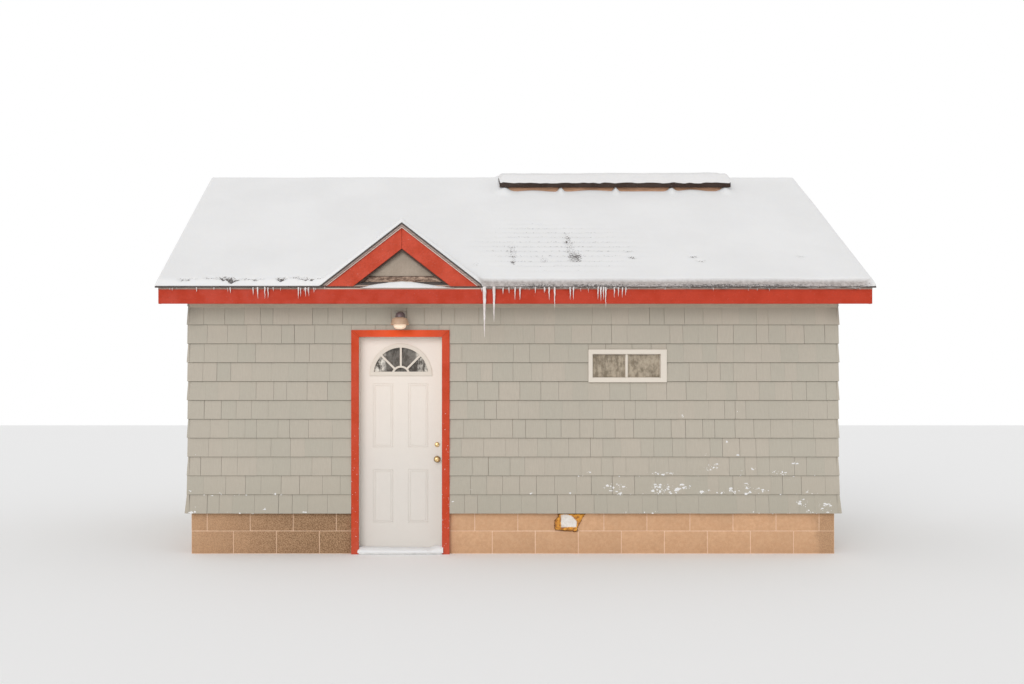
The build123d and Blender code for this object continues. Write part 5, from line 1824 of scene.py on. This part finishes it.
# Patches of splattered snow: x from and to, z from and to, number of clumps and their mean size
SPLATTER = (
    (-3.06, -3.022, 0.571, 0.618, 5, 0.007),
    (-2.787, -2.768, 0.562, 0.581, 2, 0.006),
    (-2.296, -2.145, 0.562, 0.581, 5, 0.006),
    (-2.362, -2.343, 0.42, 0.448, 3, 0.008),
    (-3.013, -2.994, 0.939, 0.958, 1, 0.005),
    (-3.06, -2.975, 0.392, 0.448, 5, 0.007),
    (-2.711, -2.692, 0.382, 0.401, 1, 0.006),
    (-0.408, -0.39, 0.599, 0.618, 2, 0.006),
    (-0.588, -0.569, 0.486, 0.505, 2, 0.006),
    (-0.003, 0.026, 0.382, 0.401, 2, 0.006),
    (0.856, 1.073, 0.571, 0.666, 34, 0.008),
    (0.696, 0.733, 0.769, 0.788, 3, 0.006),
    (1.045, 1.073, 0.382, 0.401, 2, 0.006),
    (1.573, 1.621, 1.298, 1.317, 3, 0.007),
    (2.121, 2.149, 1.336, 1.354, 2, 0.006),
    (1.998, 2.026, 1.052, 1.071, 2, 0.007),
    (1.79, 1.828, 0.93, 0.949, 3, 0.006),
    (2.092, 2.13, 0.92, 0.949, 3, 0.006),
    (1.8, 1.941, 0.788, 0.854, 22, 0.008),
    (2.149, 2.187, 0.779, 0.798, 4, 0.006),
    (2.253, 2.3, 0.788, 0.817, 5, 0.007),
    (1.243, 1.536, 0.75, 0.779, 20, 0.007),
    (2.432, 2.64, 0.75, 0.788, 14, 0.007),
    (2.649, 2.687, 0.854, 0.873, 3, 0.006),
    (2.583, 2.611, 0.694, 0.713, 2, 0.006),
    (1.309, 1.687, 0.571, 0.666, 66, 0.009),
    (1.762, 1.875, 0.571, 0.609, 10, 0.007),
    (1.923, 2.017, 0.571, 0.599, 8, 0.007),
    (2.026, 2.149, 0.571, 0.628, 12, 0.008),
    (2.177, 2.253, 0.571, 0.684, 16, 0.009),
    (2.262, 2.413, 0.581, 0.628, 10, 0.007),
    (2.753, 2.791, 0.581, 0.609, 4, 0.006),
    (2.678, 2.81, 0.448, 0.524, 18, 0.008),
    (2.885, 3.008, 0.411, 0.505, 22, 0.008),
    (2.762, 2.838, 0.392, 0.42, 8, 0.007),
    (1.328, 1.366, 0.401, 0.42, 2, 0.006),
    (0.818, 1.196, 0.552, 0.571, 10, 0.006),
    (-0.125, 2.989, 0.562, 0.581, 30, 0.005),
    (1.007, 3.083, 0.382, 0.401, 22, 0.005),
    (0.441, 2.989, 0.732, 0.75, 14, 0.005),
    (-2.956, -1.588, 0.552, 0.571, 8, 0.005),
    (-2.956, -1.588, 0.382, 0.401, 8, 0.005),
)

CASING_CLUMPS = 60
CASING_WIDTH = 0.085


class CABIN_OT_clinging_snow(bpy.types.Operator):
    """Sticks small clumps of snow to the low shingles and the casing"""

    bl_idname = "cabin.clinging_snow"
    bl_label = "Clinging Snow"

    def execute(self, context):
        random = np.random.default_rng(23)
        places, sizes = [], []
        exposure = context.scene.cabin_cladding.exposure
        for low_x, high_x, low_z, high_z, count, mean in SPLATTER:
            for _ in range(count):
                x, z = random.uniform(low_x, high_x), random.uniform(low_z, high_z)
                course = int((z - cladding_low.z) // exposure)
                up = (z - cladding_low.z) / exposure - course
                butt = (*FLARE, BUTT)[min(max(course, 0), 2)]
                out = butt * (1 - 0.5 * up)
                size = mean * (0.3 + 1.5 * random.uniform(0.0, 1.0) ** 3)
                places.append((x, wall_low.y - out + 0.001, z))
                sizes.append((size * random.uniform(0.6, 1.9), 0.003, size * random.uniform(0.35, 1.2)))
        for _ in range(CASING_CLUMPS):
            x = random.choice((casing_low.x, casing_high.x - CASING_WIDTH))
            x = x + random.uniform(0.0, CASING_WIDTH)
            size = random.uniform(0.0015, 0.0035)
            places.append((x, casing_low.y + 0.0005, random.triangular(0.05, 0.1, 1.6)))
            sizes.append((size, 0.002, size))
        mesh = grown(
            "clinging_snow",
            scattered_points("clinging_snow", places, sizes),
            snow_clumps_tree(),
            Lump=0.009,
            Lump_Scale=85.0,
            Material=settled_snow(),
        )
        piece("clinging_snow", mesh, None, smooth=60)
        return {"FINISHED"}


# Patch


@once
def cured_foam():
    """Amber foam that has faded to a pale core."""
    material, nodes, sockets = finish("cured_foam", Roughness=0.6)
    where = nodes.where()
    core = nodes.layer("core")
    rim = nodes.layer("rim")
    mottle = nodes.noise(where, 34.0, 5.0, 0.7)
    amber = nodes.mix(nodes.ramp(mottle, 0.36, 0.64), (0.3, 0.1, 0.012), (0.8, 0.36, 0.03))
    amber = nodes.mix(nodes.times(rim, 0.75), amber, (0.12, 0.055, 0.02))
    pale = nodes.mix(nodes.ramp(mottle, 0.35, 0.65), (0.66, 0.6, 0.54), (0.78, 0.75, 0.71))
    nodes.feed(sockets["Base Color"], nodes.mix(core, amber, pale))
    bump(nodes, sockets, nodes.noise(where, 55.0, 3.0, 0.6), 0.004, 0.6)
    return material


# The patched hole: x of its sides by share of its height, z of its foot and head at both sides,
# and the corners of its pale core
PATCH_LEFT = ((0.0, 0.392), (0.5, 0.39), (0.82, 0.424), (1.0, 0.434))
PATCH_RIGHT = ((0.0, 0.603), (0.3, 0.622), (1.0, 0.689))
PATCH_HEIGHT = ((0.226, 0.206), (0.386, 0.386))
PATCH_CORE = (
    (0.4504, 0.3682), (0.4976, 0.3748), (0.5542, 0.3635), (0.6042, 0.3069), (0.6032, 0.254), (0.4542, 0.254)
)


class CABIN_OT_patch(bpy.types.Operator):
    """Fills the hole in the plinth with lumpy cured foam"""

    bl_idname = "cabin.patch"
    bl_label = "Foam Patch"

    def execute(self, context):
        u, v = np.meshgrid(np.linspace(0, 1, 90), np.linspace(0, 1, 60))
        (foot_left, foot_right), (head_left, head_right) = PATCH_HEIGHT
        ragged = noise_field(u.shape, (16, 22), 63)
        edge = np.minimum(np.minimum(u, 1 - u) * 1.5, np.minimum(v, 1 - v))
        left, right = (np.interp(v, *zip(*side)) for side in (PATCH_LEFT, PATCH_RIGHT))
        x = left + (right - left) * u + 0.006 * ragged * smooth_step(0.1, 0.0, np.minimum(u, 1 - u))
        z = (foot_left * (1 - u) + foot_right * u) * (1 - v) + (head_left * (1 - u) + head_right * u) * v
        z = z + 0.005 * ragged * smooth_step(0.1, 0.0, v)
        lumps = noise_field(u.shape, (6, 9), 61) * 0.6 + noise_field(u.shape, (14, 22), 62) * 0.4
        outside = np.full_like(x, -1.0)
        for (x0, z0), (x1, z1) in zip(PATCH_CORE, PATCH_CORE[1:] + PATCH_CORE[:1]):
            away = ((x - x0) * (z0 - z1) + (z - z0) * (x1 - x0)) / math.hypot(x1 - x0, z1 - z0)
            outside = np.maximum(outside, away)
        core = smooth_step(0.004, -0.004, outside + 0.004 * lumps)
        ring = smooth_step(0.0, 0.07, edge) * (1 - 0.45 * core)
        out = 0.003 + 0.017 * ring + 0.005 * lumps * smooth_step(0.0, 0.05, edge) * (1 - 0.7 * core)
        front = plinth_low.y
        top = np.stack([x, front - out, z], axis=-1)
        under = np.stack([x, np.full_like(x, front + 0.02), z], axis=-1)
        rim = smooth_step(0.09, 0.02, edge)
        mesh = blanket("foam", top, under, core=core, rim=rim)
        piece("foam_patch", mesh, cured_foam(), slot="foam", replaced=("plinth_patch",), smooth=60)
        return {"FINISHED"}


# Inside


class CABIN_OT_inside(bpy.types.Operator):
    """Gives the floor, the walls' inner faces and the roof's frame their finishes"""

    bl_idname = "cabin.inside"
    bl_label = "Inside"

    def execute(self, context):
        finished_node("floor_slab", painted_block("trowelled_floor", (0.42, 0.4, 0.37), 0.15))
        boards = bare_wood("wall_boards", (0.66, 0.5, 0.34), (0.5, 0.35, 0.21), (40.0, 40.0, 3.0))
        for name in ("long_walls", "wall_over_door", "gable_walls"):
            finished_node(name, boards)
        timber = bare_wood("roof_timber", (0.62, 0.46, 0.3), (0.46, 0.32, 0.19), (60.0, 3.0, 30.0))
        for name in ("rafters", "ceiling_ties"):
            finished_node(name, timber)
        ridge = bare_wood("ridge_timber", (0.62, 0.46, 0.3), (0.46, 0.32, 0.19), (3.0, 60.0, 60.0))
        finished_node("ridge_board", ridge)
        return {"FINISHED"}


# Stage


class CABIN_OT_stage(bpy.types.Operator):
    """Sets up the pale floor, the soft light, the plain white background and the camera"""

    bl_idname = "cabin.stage"
    bl_label = "Stage"

    def execute(self, context):
        view = context.scene.cabin_view
        bm = bmesh.new()
        bmesh.ops.create_grid(bm, x_segments=1, y_segments=1, size=40)
        mesh = from_bmesh("floor", bm, outward=False)
        floor = bpy.data.objects.new("floor", mesh)
        context.scene.collection.objects.link(floor)
        material, nodes, sockets = finish("pale_floor", Roughness=0.9)
        sockets["Base Color"].default_value = (0.93, 0.93, 0.93, 1)
        mesh.materials.append(material)
        world = bpy.data.worlds.new("plain")
        context.scene.world = world
        world.use_nodes = True
        nodes = Nodes(world.node_tree)
        world.node_tree.nodes.clear()
        path = nodes.add("ShaderNodeLightPath").outputs
        seen = nodes.math("MAXIMUM", path["Is Camera Ray"], path["Is Glossy Ray"])
        seen = nodes.math("MAXIMUM", seen, path["Is Transmission Ray"])
        strength = nodes.add("ShaderNodeMapRange", {"Value": seen, "To Min": 0.74, "To Max": 1.0})
        colour = (1.0, 1.0, 1.0, 1.0)
        back = nodes.add("ShaderNodeBackground", {"Color": colour, "Strength": strength.outputs[0]})
        nodes.add("ShaderNodeOutputWorld", {"Surface": back.outputs[0]})
        light = bpy.data.lights.new("key_sun", "SUN")
        light.energy = 1.15
        light.angle = math.radians(35)
        holder = bpy.data.objects.new("key_sun", light)
        holder.rotation_euler = [math.radians(tilt) for tilt in (71, 0, -20)]
        context.scene.collection.objects.link(holder)
        camera = bpy.data.cameras.new("camera")
        camera.lens = view.lens
        camera.sensor_width = 36.0
        camera.shift_x = view.shift_x
        camera.shift_y = view.shift_y
        camera.clip_end = 200.0
        holder = bpy.data.objects.new("camera", camera)
        holder.location = view.place
        holder.rotation_euler = (math.radians(90), 0, 0)
        context.scene.collection.objects.link(holder)
        context.scene.camera = holder
        context.scene.view_settings.view_transform = "Standard"
        return {"FINISHED"}


OPERATORS = (
    CABIN_OT_wall_shingles,
    CABIN_OT_plinth,
    CABIN_OT_roof_tabs,
    CABIN_OT_roof_snow,
    CABIN_OT_vent,
    CABIN_OT_ledge_snow,
    CABIN_OT_sill_snow,
    CABIN_OT_trim,
    CABIN_OT_false_gable,
    CABIN_OT_door,
    CABIN_OT_lock,
    CABIN_OT_window,
    CABIN_OT_lamp,
    CABIN_OT_icicles,
    CABIN_OT_clinging_snow,
    CABIN_OT_patch,
    CABIN_OT_inside,
    CABIN_OT_stage,
)


class CABIN_PT_tools(bpy.types.Panel):
    """Lists the cabin's sizes, colours and the buttons that make its pieces"""

    bl_idname = "CABIN_PT_tools"
    bl_label = "Sauna Cabin"
    bl_space_type = "VIEW_3D"
    bl_region_type = "UI"
    bl_category = "Cabin"

    def draw(self, context):
        for name, group in GROUPS.items():
            box = self.layout.box()
            for key in group.__annotations__:
                box.prop(getattr(context.scene, name), key)
        for operator in OPERATORS:
            self.layout.operator(operator.bl_idname)


def register():
    for each in (*GROUPS.values(), *OPERATORS, CABIN_PT_tools):
        bpy.utils.register_class(each)
    for name, group in GROUPS.items():
        setattr(bpy.types.Scene, name, PointerProperty(type=group))


def unregister():
    for name in GROUPS:
        delattr(bpy.types.Scene, name)
    for each in (CABIN_PT_tools, *reversed(OPERATORS), *GROUPS.values()):
        bpy.utils.unregister_class(each)


def main():
    register()
    for operator in OPERATORS:
        group, name = operator.bl_idname.split(".")
        getattr(getattr(bpy.ops, group), name)()


if __name__ == "__main__":
    main()
